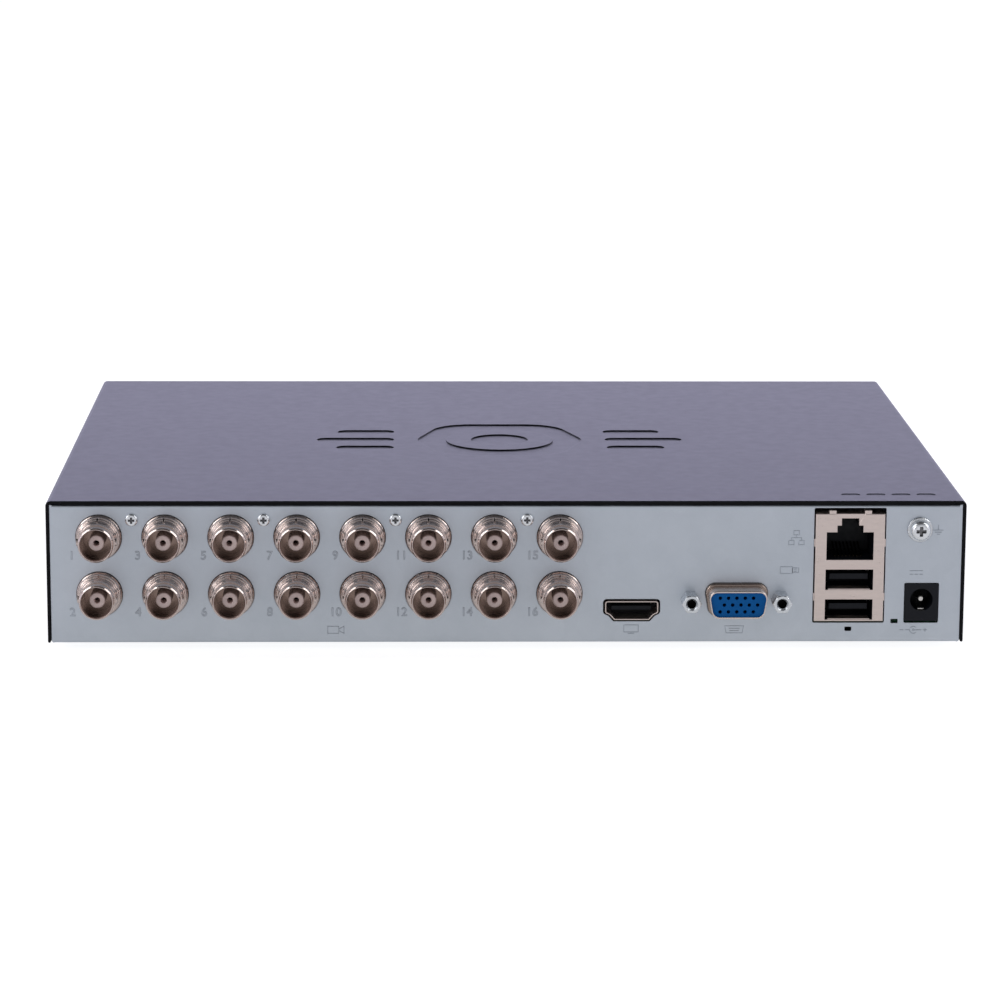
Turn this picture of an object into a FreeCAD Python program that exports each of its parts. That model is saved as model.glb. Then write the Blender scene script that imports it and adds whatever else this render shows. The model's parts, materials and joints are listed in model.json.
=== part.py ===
"""A sixteen-channel video recorder: a steel case with its rear sockets, main board, hard drive and front bezel.

Millimetres. +Z is up, the bezel faces -Y and the sockets face +Y. The origin is on the surface that the rubber
feet stand on, under the middle of the whole object. Each node is written to parts/NODE.step.
"""
import FreeCAD, Part
import math
import os

V = FreeCAD.Vector
UP = V(0, 0, 1)
DOWN = V(0, 0, -1)
REARWARD = V(0, 1, 0)

# Case
WIDTH = 253.2  # across the cover's sides
CASE_HEIGHT = 40.0  # from the chassis's underside to the cover's top
CASE_DEPTH = 194.5  # from the bezel's face to the cover's rear edge
FOOT_HEIGHT = 2.4
BEZEL_DEPTH = 14.0
COVER_SHEET = 0.8
BASE_SHEET = 0.8
COVER_OVERHANG = 0.3  # of the cover's rear edge past the rear panel
SEAT_GAP = 0.1  # between the cover and what it covers
FIT = 0.05  # between pieces that fit closely
HEM = 0.25  # extra thickness of the folded rear edge of the cover

# Coax jacks, in two rows on the rear panel
JACK_REACH = 11.0  # tip, past the panel
JACK_COLUMNS = 8
JACK_PITCH = 18.1
JACK_FIRST_X = 112.2
JACK_ROWS = (29.2, 13.2)  # heights above LEVEL_Z
FLANGE_RADIUS = 6.25
BARREL_RADIUS = 4.8
COLLAR_RADIUS = 5.05  # of the barrel below and beside its lugs
COLLAR_TOP = 7.5
BORE_RADIUS = 4.15
INSULATOR_RADIUS = 2.15
CONTACT_RADIUS = 0.8

# Where things stand along Y
TOTAL_DEPTH = CASE_DEPTH - COVER_OVERHANG + JACK_REACH
PANEL_Y = TOTAL_DEPTH / 2 - JACK_REACH  # the rear panel's outer face
PANEL_INNER_Y = PANEL_Y - BASE_SHEET
COVER_REAR_Y = PANEL_Y + COVER_OVERHANG
FRONT_Y = -TOTAL_DEPTH / 2
BEZEL_BACK_Y = FRONT_Y + BEZEL_DEPTH
COVER_FRONT_Y = FRONT_Y + 0.8  # the cover wraps the bezel

# Heights
FLOOR_Z = FOOT_HEIGHT
LEVEL_Z = FLOOR_Z + 0.6  # from which the boards, sockets and drive are placed
FLOOR_TOP_Z = FLOOR_Z + BASE_SHEET
CASE_TOP_Z = FLOOR_Z + CASE_HEIGHT
PANEL_TOP_Z = CASE_TOP_Z - COVER_SHEET - HEM - 0.1
BEZEL_TOP_Z = CASE_TOP_Z - COVER_SHEET - 0.3
BOARD_TOP_Z = LEVEL_Z + 5.4
BOARD_THICK = 1.6

# Chassis
BASE_HALF = WIDTH / 2 - COVER_SHEET - SEAT_GAP
FLANGE_HALF = BASE_HALF - 1.5  # outer face of the side flanges
FLANGE_TOP_Z = LEVEL_Z + 13.0
FRONT_WALL_TOP_Z = LEVEL_Z + 34.0
PANEL_RETURN = 8.0

# Fasteners
M3_RADIUS = 1.5
COVER_SCREW_YS = (-70.0, 60.0)
COVER_SCREW_Z = LEVEL_Z + 9.0
BOARD_SCREWS = ((-116, 60), (-116, 24), (-30, 24), (60, 24), (116, 42), (116, 66))
EARTH_X = -113.9
EARTH_Z = LEVEL_Z + 31.3
EARTH_HEAD_RADIUS = 2.75
EARTH_WASHER_RADIUS = 3.5
EARTH_WASHER_THICK = 0.9

# Rear sockets: each centre is (x, z)
HDMI_AT = (-34.5, LEVEL_Z + 8.5)
VGA_AT = (-63.2, LEVEL_Z + 11.5)  # midway between its posts
VGA_SHELL_AT = (-63.5, LEVEL_Z + 11.5)
VGA_POST_SPACING = 24.99
STACK_X = -94.6
STACK_WIDTH = 19.2
STACK_HEIGHT = 30.4
STACK_DEPTH = 27.0
POWER_X = -114.8
POWER_HOLE_Z = LEVEL_Z + 11.4

# Main board
BOARD_HALF = 122.0
BOARD_REAR_Y = PANEL_INNER_Y - 1.2
BOARD_FRONT_Y = BOARD_REAR_Y - 70.0

# Hard drive, a 3.5 inch one with its long side across the case
DRIVE_LENGTH = 147.0
DRIVE_WIDTH = 101.6
DRIVE_HEIGHT = 26.1
DRIVE_X = -85.0  # end away from its sockets
DRIVE_Y = BEZEL_BACK_Y + BASE_SHEET + 3.0
DRIVE_Z = LEVEL_Z + 4.8
DRIVE_LID = 1.2
DRIVE_WALL = 3.0
DRIVE_FLOOR = 6.0
SPINDLE = (DRIVE_X + 51.0, DRIVE_Y + DRIVE_WIDTH / 2)
PIVOT = (DRIVE_X + 104.0, DRIVE_Y + 60.0)
PLATTER_RADIUS = 47.5
PLATTER_THICK = 1.27
PLATTER_ZS = (DRIVE_Z + 12.0, DRIVE_Z + 16.5)
SPINDLE_RADIUS = 4.0
PIVOT_RADIUS = 3.0
RUNNING = 0.05  # radial clearance of the drive's two bearings
ARM_LENGTH = 50.0
ARM_PARKED = 246.6  # degrees from +X, with the heads off the platters


# ---------------------------------------------------------------- helpers


def box(x, y, z):
    """The box between the two values of each of x, y and z."""
    return Part.makeBox(x[1] - x[0], y[1] - y[0], z[1] - z[0], V(x[0], y[0], z[0]))


def around(centre, size):
    """The pair of values that lie size / 2 either side of centre."""
    return (centre - size / 2, centre + size / 2)


def rod(start, end, radius):
    """A cylinder between two points."""
    start, end = V(*start), V(*end)
    return Part.makeCylinder(radius, (end - start).Length, start, end - start)


def placed(shape, point, direction=UP):
    """shape with its origin moved to point and its +Z turned to direction."""
    moved = shape.copy()
    moved.Placement = FreeCAD.Placement(V(*point), FreeCAD.Rotation(UP, direction)).multiply(shape.Placement)
    return moved


def union(shapes):
    """All the shapes as one solid."""
    shapes = list(shapes)
    return shapes[0].multiFuse(shapes[1:]).removeSplitter()


def without(shape, tools):
    """shape with all the tools cut from it."""
    return shape.cut(list(tools)).removeSplitter()


def group(shapes):
    """Separate solids that share a node."""
    return Part.makeCompound([s for shape in shapes for s in shape.Solids])


def outline(corners):
    """A closed wire in the XY plane. Each corner is (x, y) or (x, y, rounding radius)."""
    corners = [(c + (0,))[:3] for c in corners]
    stretches = []
    for i, (x, y, radius) in enumerate(corners):
        here = V(x, y, 0)
        back = (V(*corners[i - 1][:2], 0) - here).normalize()
        ahead = (V(*corners[(i + 1) % len(corners)][:2], 0) - here).normalize()
        half = back.getAngle(ahead) / 2
        inward = (back + ahead).normalize()
        reach = radius / math.tan(half)
        nearest = here + inward * (radius / math.sin(half) - radius)
        stretches.append((here + back * reach, nearest, here + ahead * reach, radius))
    edges = []
    for i, (start, nearest, end, radius) in enumerate(stretches):
        if radius:
            edges.append(Part.Arc(start, nearest, end).toShape())
        following = stretches[(i + 1) % len(stretches)][0]
        if end.distanceToPoint(following) > 1e-6:
            edges.append(Part.makeLine(end, following))
    return Part.Wire(edges)


def mirrored(corners):
    """A left half's corners, from top to bottom, followed by the right half's, from bottom to top."""
    return corners + [(-c[0],) + tuple(c[1:]) for c in reversed(corners)]


def rectangle(width, height, radius=0):
    """The corners of a centred rectangle."""
    w, h = width / 2, height / 2
    return [(-w, -h, radius), (w, -h, radius), (w, h, radius), (-w, h, radius)]


def plate(corners, z, thick, at=(0, 0)):
    """A flat plate with that outline in the XY plane, from height z up."""
    face = Part.Face(outline(corners))
    return placed(face.extrude(V(0, 0, thick)), (at[0], at[1], z))


def facing_rear(corners, rear_y, depth, at=(0, 0)):
    """A prism whose outline is in the XZ plane, from rear_y forwards."""
    shape = Part.Face(outline(corners)).extrude(V(0, 0, depth))
    turn = FreeCAD.Rotation(V(1, 0, 0), 90)
    shape.Placement = FreeCAD.Placement(V(at[0], rear_y, at[1]), turn)
    return shape


def across(corners, x):
    """A prism whose outline is in the YZ plane, between the two values of x."""
    shape = Part.Face(outline(corners)).extrude(V(0, 0, x[1] - x[0]))
    turn = FreeCAD.Rotation(V(1, 1, 1), 120)
    shape.Placement = FreeCAD.Placement(V(x[0], 0, 0), turn)
    return shape


def turned(profile):
    """The solid of a closed (radius, height) profile turned round +Z."""
    points = [V(r, 0, h) for r, h in profile]
    face = Part.Face(Part.makePolygon(points + points[:1]))
    return face.revolve(V(0, 0, 0), UP, 360)


def cross_recess(radius, depth):
    """The cutter for a cross-head screw's recess, from height 0 down."""
    arm = 0.34 * radius
    bars = [box((-radius, radius), (-arm, arm), (-depth, 0.01)), box((-arm, arm), (-radius, radius), (-depth, 0.01))]
    return bars[0].fuse(bars[1])


def pan_screw(head_radius, head_height, shank_radius, length):
    """A pan-head screw with its head's underside at height 0 and its shank below."""
    head = Part.makeCylinder(head_radius, head_height)
    rim = [e for e in head.Edges if e.BoundBox.ZMin > head_height / 2]
    head = head.makeFillet(0.55 * head_height, rim)
    shank = rod((0, 0, -length), (0, 0, 0.01), shank_radius)
    recess = placed(cross_recess(0.5 * head_radius, 0.6 * head_height), (0, 0, head_height))
    return union([head, shank]).cut(recess)


def tube(route, radius, bend):
    """A round tube along straight runs joined by tangent arcs of radius bend."""
    points = [V(*p) for p in route]
    edges, here = [], points[0]
    for before, corner, after in zip(points, points[1:], points[2:]):
        back, ahead = (before - corner).normalize(), (after - corner).normalize()
        half = back.getAngle(ahead) / 2
        reach = bend / math.tan(half)
        start, end = corner + back * reach, corner + ahead * reach
        middle = corner + (back + ahead).normalize() * (bend / math.sin(half) - bend)
        edges += [Part.makeLine(here, start), Part.Arc(start, middle, end).toShape()]
        here = end
    edges.append(Part.makeLine(here, points[-1]))
    ring = Part.Wire(Part.makeCircle(radius, points[0], points[1] - points[0]))
    return Part.Wire(edges).makePipeShell([ring], True, False)


def jack_places():
    """(x, z) of each coax jack, in the order of its channel number."""
    for column in range(JACK_COLUMNS):
        for height in JACK_ROWS:
            yield JACK_FIRST_X - column * JACK_PITCH, LEVEL_Z + height


def block_centres():
    """x of the middle of each block of four jacks."""
    return [JACK_FIRST_X - JACK_PITCH * (2 * block + 0.5) for block in range(JACK_COLUMNS // 2)]


# ---------------------------------------------------------------- case

BLOCK_SCREW_Z = LEVEL_Z + 34.1
BLOCK_SCREW_RADIUS = 0.95
PANEL_HOLE_RADIUS = 6.4
DRIVE_HOLES = [(DRIVE_X + dx, DRIVE_Y + dy) for dx in (28.5, 130.1) for dy in (3.2, 98.4)]
FEET = [(sx * 104.0, y) for sx in (-1, 1) for y in (-78.0, 62.0)]
HOOK_XS = (-112.0, -62.0, 62.0, 112.0)
HOOK_ZS = (LEVEL_Z + 8.0, LEVEL_Z + 29.0)
LIGHT_XS = (84.0, 92.0, 100.0)
LIGHT_Z = LEVEL_Z + 22.0
LIGHTS_BOARD_Y = FRONT_Y + 7.6
WINDOW_BOTTOM_Z = LEVEL_Z + 16.0
WINDOW_TOP_Z = LEVEL_Z + 28.0

HDMI_CORNERS = mirrored([(-7.35, 2.65, 0.75), (-7.35, -0.65, 0.75), (-6.1, -1.2, 0.5), (-4.8, -2.65, 0.4)])
HDMI_INNER = mirrored([(-7.07, 2.37, 0.5), (-7.07, -0.5, 0.5), (-5.95, -0.95, 0.4), (-4.68, -2.37, 0.3)])
HDMI_HOLE = mirrored([(-7.9, 3.15, 1.0), (-7.9, -0.9, 1.0), (-6.4, -1.6, 0.5), (-5.05, -3.15, 0.5)])


def d_shape(width, height, radius):
    """The corners of a D-sub shell: the sides lean in by ten degrees towards the bottom."""
    lean = height * math.tan(math.radians(10))
    return mirrored([(-width / 2, height / 2, radius), (-width / 2 + lean, -height / 2, radius)])


def slot(length, width, thick):
    """A slot with round ends along Y, as a plate's cutter."""
    return plate(rectangle(width, length, width / 2 - 0.01), 0, thick)


def panel_openings():
    """What is punched out of the rear panel."""
    rear, depth = PANEL_Y + 1, BASE_SHEET + 2
    for x, z in jack_places():
        yield rod((x, rear, z), (x, rear - depth, z), PANEL_HOLE_RADIUS)
    for x in block_centres():
        yield rod((x, rear, BLOCK_SCREW_Z), (x, rear - depth, BLOCK_SCREW_Z), BLOCK_SCREW_RADIUS + FIT)
    yield facing_rear(HDMI_HOLE, rear, depth, HDMI_AT)
    yield facing_rear(d_shape(18.5, 9.6, 2.9), rear, depth, VGA_SHELL_AT)
    for side in (-1, 1):
        x = VGA_AT[0] + side * VGA_POST_SPACING / 2
        yield rod((x, rear, VGA_AT[1]), (x, rear - depth, VGA_AT[1]), 1.6)
    yield facing_rear(rectangle(19.9, 32.45, 0.4), rear, depth, (STACK_X, LEVEL_Z + 21.13))
    yield facing_rear(rectangle(9.6, 11.3, 0.4), rear, depth, (POWER_X, LEVEL_Z + 10.5))
    yield facing_rear(rectangle(1.9, 1.2, 0.2), rear, depth, (STACK_X, LEVEL_Z + 3.15))
    yield facing_rear(rectangle(2.0, 1.2, 0.2), rear, depth, (-107.4, LEVEL_Z + 5.35))


def base_chassis():
    """The folded steel tray: floor, rear panel with its returns, side flanges and front wall."""
    bend, inner = 0.8, 0.2
    folded = [
        (PANEL_Y - PANEL_RETURN, PANEL_TOP_Z),
        (PANEL_Y, PANEL_TOP_Z, bend),
        (PANEL_Y, FLOOR_Z, bend),
        (BEZEL_BACK_Y, FLOOR_Z, bend),
        (BEZEL_BACK_Y, FRONT_WALL_TOP_Z),
        (BEZEL_BACK_Y + BASE_SHEET, FRONT_WALL_TOP_Z),
        (BEZEL_BACK_Y + BASE_SHEET, FLOOR_TOP_Z, inner),
        (PANEL_INNER_Y, FLOOR_TOP_Z, inner),
        (PANEL_INNER_Y, PANEL_TOP_Z - BASE_SHEET, inner),
        (PANEL_Y - PANEL_RETURN, PANEL_TOP_Z - BASE_SHEET),
    ]
    # The floor and front wall are as wide as the side flanges; only the rear panel is full width.
    narrow = across(folded, (-FLANGE_HALF, FLANGE_HALF))
    panel = across(folded, (-BASE_HALF, BASE_HALF)).common(
        box((-BASE_HALF, BASE_HALF), (PANEL_Y - PANEL_RETURN, PANEL_Y), (FLOOR_Z, CASE_TOP_Z))
    )
    pieces = [narrow, panel]
    for side in (-1, 1):
        edge = sorted((side * BASE_HALF, side * (BASE_HALF - BASE_SHEET)))
        flange = sorted((side * FLANGE_HALF, side * (FLANGE_HALF - BASE_SHEET)))
        pieces.append(box(edge, (PANEL_Y - PANEL_RETURN, PANEL_Y), (FLOOR_Z, PANEL_TOP_Z)))
        pieces.append(box(flange, (BEZEL_BACK_Y, PANEL_INNER_Y), (FLOOR_Z, FLANGE_TOP_Z)))
    width = 2 * BASE_HALF
    rounding = plate(
        [
            (-BASE_HALF, BEZEL_BACK_Y),
            (BASE_HALF, BEZEL_BACK_Y),
            (BASE_HALF, PANEL_Y, 0.2),
            (-BASE_HALF, PANEL_Y, 0.2),
        ],
        FLOOR_Z,
        CASE_HEIGHT,
    )
    lower = facing_rear(
        [
            (-width / 2, CASE_HEIGHT),
            (-width / 2, 0, 1.0),
            (width / 2, 0, 1.0),
            (width / 2, CASE_HEIGHT),
        ],
        PANEL_Y,
        CASE_DEPTH,
        (0, FLOOR_Z),
    )
    tray = union(pieces).common(rounding).common(lower)
    studs = [rod((x, y, FLOOR_Z), (x, y, BOARD_TOP_Z - BOARD_THICK), 3.0) for x, y in BOARD_SCREWS]
    raised = [rod((x, y, FLOOR_Z), (x, y, DRIVE_Z), 6.0) for x, y in DRIVE_HOLES]
    earth_nut = rod((EARTH_X, PANEL_INNER_Y, EARTH_Z), (EARTH_X, PANEL_INNER_Y - 5, EARTH_Z), 3.0)
    tray = union([tray, *studs, *raised, earth_nut])
    tools = list(panel_openings())
    tools += [rod((x, y, FLOOR_Z - 1), (x, y, BOARD_TOP_Z), M3_RADIUS + FIT) for x, y in BOARD_SCREWS]
    tools += [rod((x, y, FLOOR_Z - 1), (x, y, DRIVE_Z - BASE_SHEET), 4.6) for x, y in DRIVE_HOLES]
    tools += [rod((x, y, FLOOR_Z - 1), (x, y, DRIVE_Z + 1), 1.8) for x, y in DRIVE_HOLES]
    tools.append(rod((EARTH_X, PANEL_Y + 1, EARTH_Z), (EARTH_X, PANEL_Y - 10, EARTH_Z), M3_RADIUS + FIT))
    for side in (-1, 1):
        for y in COVER_SCREW_YS:
            wall = sorted((side * (FLANGE_HALF + 1), side * (FLANGE_HALF - BASE_SHEET - 1)))
            tools.append(rod((wall[0], y, COVER_SCREW_Z), (wall[1], y, COVER_SCREW_Z), M3_RADIUS + 0.25))
            width = around(y, 2 * M3_RADIUS + 0.5)
            tools.append(box(wall, width, (COVER_SCREW_Z, FLANGE_TOP_Z + 1)))
    for x in HOOK_XS:
        for z in HOOK_ZS:
            tools.append(box(around(x, 11.0), (BEZEL_BACK_Y - 1, BEZEL_BACK_Y + 2), around(z, 4.4)))
    tools.append(box((104.0, 121.0), (BEZEL_BACK_Y - 1, BEZEL_BACK_Y + 2), (LEVEL_Z + 16, LEVEL_Z + 28)))
    for column in range(11):
        for y in (-66.0, -24.0):
            tools.append(placed(slot(26.0, 2.6, 4), (-80.0 + 13.0 * column, y, FLOOR_Z - 2)))
    for column in range(9):
        tools.append(placed(slot(22.0, 2.6, 4), (-88.0 + 13.0 * column, 42.0, FLOOR_Z - 2)))
    return without(tray, tools)


EMBLEM_Y = COVER_REAR_Y - 91.0
EMBLEM_DEPTH = 0.35
MARK_DEPTH = 0.15


def emblem():
    """The shallow pressings in the cover's top: a lens ring between bars, and four small bars near a corner."""
    z = CASE_TOP_Z - EMBLEM_DEPTH
    lens = plate([(-17, -25, 12), (17, -25, 12), (25, 0, 12), (17, 25, 12), (-17, 25, 12), (-25, 0, 12)], z, 1)
    ring = lens.cut(Part.makeCylinder(16.0, 3, V(0, 0, z - 1)))
    parts = [ring, Part.makeCylinder(8.5, 1, V(0, 0, z))]
    for side in (-1, 1):
        for y, length in ((-12.5, 17.0), (0.0, 23.0), (12.5, 17.0)):
            parts.append(plate(rectangle(length, 5.5, 2.7), z, 1, (side * (31.5 + length / 2), y)))
    for i in range(4):
        at = (-95.5 - 7.0 * i, COVER_REAR_Y - 8.5 - EMBLEM_Y)
        parts.append(plate(rectangle(5.2, 3.0, 1.2), CASE_TOP_Z - MARK_DEPTH, 1, at))
    return [placed(p, (0, EMBLEM_Y, 0)) for p in parts]


def top_cover():
    """The U-shaped steel cover, with a hemmed rear edge, dimpled screw seats and side vents."""
    half, sheet, bend = WIDTH / 2, COVER_SHEET, 1.4
    bottom_z = FLOOR_Z + 0.1
    folded = [
        (-half, bottom_z, 0.4),
        (-half, CASE_TOP_Z, bend),
        (half, CASE_TOP_Z, bend),
        (half, bottom_z, 0.4),
        (half - sheet, bottom_z, 0.4),
        (half - sheet, CASE_TOP_Z - sheet, bend - sheet),
        (-half + sheet, CASE_TOP_Z - sheet, bend - sheet),
        (-half + sheet, bottom_z, 0.4),
    ]
    cover = facing_rear(folded, COVER_REAR_Y, COVER_REAR_Y - COVER_FRONT_Y)
    hem_half = half - 4.0
    hem = box((-hem_half, hem_half), (COVER_REAR_Y - 6.0, COVER_REAR_Y), (CASE_TOP_Z - sheet - HEM, CASE_TOP_Z - sheet))
    chin = [
        (FRONT_Y - 1, FLOOR_Z - 1),
        (FRONT_Y + 7.4, FLOOR_Z - 1),
        (COVER_FRONT_Y, LEVEL_Z + 10.0),
        (FRONT_Y - 1, LEVEL_Z + 10.0),
    ]
    dimples, tools = [], [*emblem(), across(chin, (-half - 1, half + 1))]
    for side in (-1, 1):
        for y in COVER_SCREW_YS:
            seat = Part.makeCone(3.2, 4.8, half - sheet - FLANGE_HALF - 0.1)
            dimples.append(placed(seat, (side * (FLANGE_HALF + 0.1), y, COVER_SCREW_Z), V(side, 0, 0)))
            sink = Part.makeCone(1.6, 3.1, 1.5)
            tools.append(placed(sink, (side * (half - 1.5), y, COVER_SCREW_Z), V(side, 0, 0)))
            shank = ((side * (half + 1), y, COVER_SCREW_Z), (side * (half - 5), y, COVER_SCREW_Z))
            tools.append(rod(*shank, M3_RADIUS + FIT))
        for field in (-42.0, 30.0):
            for i in range(9):
                vent = plate(rectangle(14.0, 2.0, 0.99), -2, 4)
                tools.append(placed(vent, (side * half, field + 4.5 * (i - 4), LEVEL_Z + 24), V(1, 0, 0)))
    return without(union([cover, hem, *dimples]), tools)


def cover_screws():
    """Four countersunk screws, two in each side of the cover."""
    screws = []
    for side in (-1, 1):
        for y in COVER_SCREW_YS:
            head = Part.makeCone(M3_RADIUS, 2.9, 1.45, V(0, 0, 6.0))
            shank = Part.makeCylinder(M3_RADIUS, 6.01)
            recess = placed(cross_recess(1.4, 1.0), (0, 0, 7.45))
            screw = union([head, shank]).cut(recess)
            screws.append(placed(screw, (side * (WIDTH / 2 - 7.55), y, COVER_SCREW_Z), V(side, 0, 0)))
    return group(screws)


def hexagon(across_flats):
    """The corners of a hexagon with corners on the X axis."""
    reach = across_flats / math.sqrt(3)
    return [(reach * math.cos(math.radians(60 * i)), reach * math.sin(math.radians(60 * i))) for i in range(6)]


def cover_nuts():
    """The hexagon nuts on the inner ends of the cover's screws."""
    nuts = []
    for side in (-1, 1):
        for y in COVER_SCREW_YS:
            nut = plate(hexagon(5.5), 0, 2.2).cut(Part.makeCylinder(M3_RADIUS, 3))
            inner = FLANGE_HALF - BASE_SHEET - FIT - 2.2
            nuts.append(placed(nut, (side * inner, y, COVER_SCREW_Z), V(side, 0, 0)))
    return group(nuts)


def front_bezel():
    """The moulded front: a hollow shell with a recessed window band, a sloping chin with slots, and hooks."""
    wall = 2.0
    outer = [
        (BEZEL_BACK_Y, FLOOR_Z),
        (FRONT_Y + 6.0, FLOOR_Z, 1.5),
        (FRONT_Y, LEVEL_Z + 10.0, 3.0),
        (FRONT_Y, BEZEL_TOP_Z, 1.2),
        (BEZEL_BACK_Y, BEZEL_TOP_Z),
    ]
    inner = [
        (BEZEL_BACK_Y + 1, FLOOR_Z + wall),
        (FRONT_Y + 7.0, FLOOR_Z + wall, 1.0),
        (FRONT_Y + wall, LEVEL_Z + 10.6, 2.0),
        (FRONT_Y + wall, BEZEL_TOP_Z - wall, 1.0),
        (BEZEL_BACK_Y + 1, BEZEL_TOP_Z - wall),
    ]
    half = BASE_HALF
    solid = across(outer, (-half, half))
    plan = [(-half, FRONT_Y, 1.2), (half, FRONT_Y, 1.2), (half, BEZEL_BACK_Y), (-half, BEZEL_BACK_Y)]
    solid = solid.common(plate(plan, 0, CASE_TOP_Z))
    hooks = []
    for x in HOOK_XS:
        for z in HOOK_ZS:
            rise = 1 if z > LEVEL_Z + 20 else -1
            root_y = FRONT_Y + (1.0 if rise > 0 else 2.4)  # inside the wall, which slopes low down
            root = box(around(x, 9.0), (root_y, BEZEL_BACK_Y + 3.4), around(z, 1.8))
            barb = box(around(x, 9.0), (BEZEL_BACK_Y + 1.0, BEZEL_BACK_Y + 2.6), around(z + rise * 1.2, 1.2))
            hooks += [root, barb]
    posts = []
    for x in (82.5, 118.5):
        for z in (LEVEL_Z + 18.0, LEVEL_Z + 26.0):
            posts.append(rod((x, FRONT_Y + wall - 0.1, z), (x, LIGHTS_BOARD_Y - FIT, z), 1.2))
    window = box((-half + 8, half - 8), (FRONT_Y - 1, FRONT_Y + 0.6), (WINDOW_BOTTOM_Z, WINDOW_TOP_Z))
    tools = [across(inner, (-half + wall, half - wall)), window]
    for x in LIGHT_XS:
        tools.append(rod((x, FRONT_Y - 1, LIGHT_Z), (x, FRONT_Y + 4, LIGHT_Z), 1.5))
    for i in range(33):
        x = 6.4 * (i - 16)
        tools.append(box(around(x, 2.6), (FRONT_Y - 1, FRONT_Y + 7.0), (LEVEL_Z + 3.0, LEVEL_Z + 7.6)))
    return union([without(solid, tools), *hooks, *posts])


def status_light_guide():
    """The clear moulding whose three pins carry the board's lights to the bezel's face."""
    back_y = FRONT_Y + 2.2
    bar = box((LIGHT_XS[0] - 3.0, LIGHT_XS[-1] + 3.0), (back_y, back_y + 1.6), around(LIGHT_Z, 5.0))
    pins = [rod((x, FRONT_Y + 0.4, LIGHT_Z), (x, back_y + 4.0, LIGHT_Z), 1.4) for x in LIGHT_XS]
    return union([bar, *pins])


def rubber_feet():
    """Four round feet stuck under the chassis."""
    profile = [(0, 0), (6.6, 0), (7.0, 0.3), (7.8, FOOT_HEIGHT - 0.4), (7.8, FOOT_HEIGHT), (0, FOOT_HEIGHT)]
    dish = Part.makeCylinder(3.0, 0.8)
    return group([placed(turned(profile).cut(dish), (x, y, 0)) for x, y in FEET])


def chassis_screws():
    """The pan-head screws of the main board and, from below, of the hard drive."""
    board = [placed(pan_screw(2.8, 1.8, M3_RADIUS, 5.0), (x, y, BOARD_TOP_Z)) for x, y in BOARD_SCREWS]
    drive_z = DRIVE_Z - BASE_SHEET
    drive = [placed(pan_screw(2.8, 1.8, M3_RADIUS, 5.0), (x, y, drive_z), DOWN) for x, y in DRIVE_HOLES]
    return group(board + drive)


def block_screws():
    """The small screws that hold the jack blocks to the rear panel."""
    screw = pan_screw(1.75, 1.0, BLOCK_SCREW_RADIUS, 6.0)
    return group([placed(screw, (x, PANEL_Y, BLOCK_SCREW_Z), REARWARD) for x in block_centres()])


def earth_washer():
    """The earth terminal's washer."""
    ring = Part.makeCylinder(EARTH_WASHER_RADIUS, EARTH_WASHER_THICK - 0.1)
    ring = ring.makeChamfer(0.2, [e for e in ring.Edges if e.BoundBox.ZLength < 0.01])
    ring = ring.cut(Part.makeCylinder(M3_RADIUS + FIT, 3, V(0, 0, -1)))
    return placed(ring, (EARTH_X, PANEL_Y + FIT, EARTH_Z), REARWARD)


def earth_screw():
    """The earth terminal's screw."""
    screw = pan_screw(EARTH_HEAD_RADIUS, 2.2, M3_RADIUS, 7.0)
    return placed(screw, (EARTH_X, PANEL_Y + EARTH_WASHER_THICK, EARTH_Z), REARWARD)


# ---------------------------------------------------------------- rear sockets

BLOCK_DEPTH = 17.0
BLOCK_WIDTH = 2 * JACK_PITCH - 0.6
SHELL_BACK = 6.0  # how far a jack's shell reaches in behind the panel's outer face


def jack_block(x):
    """One moulded block behind the panel, which carries four jacks."""
    rear_y = PANEL_INNER_Y - FIT
    body = box(around(x, BLOCK_WIDTH), (rear_y - BLOCK_DEPTH, rear_y), (BOARD_TOP_Z, LEVEL_Z + 36.6))
    tools = []
    for jack_x, z in jack_places():
        if abs(jack_x - x) < JACK_PITCH:
            tools.append(rod((jack_x, rear_y + 1, z), (jack_x, PANEL_Y - SHELL_BACK, z), 6.0))
            tools.append(rod((jack_x, rear_y + 1, z), (jack_x, rear_y - 12, z), INSULATOR_RADIUS + FIT))
            tools.append(rod((jack_x, rear_y + 1, z), (jack_x, rear_y - 15, z), CONTACT_RADIUS + FIT))
    tools.append(rod((x, rear_y + 1, BLOCK_SCREW_Z), (x, rear_y - 7, BLOCK_SCREW_Z), BLOCK_SCREW_RADIUS))
    for side in (-1, 1):
        notch = around(x + side * BLOCK_WIDTH / 2, 3.0)
        tools.append(box(notch, (rear_y - BLOCK_DEPTH - 1, rear_y - 9), (BOARD_TOP_Z + 4, LEVEL_Z + 40)))
    return without(body, tools)


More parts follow.
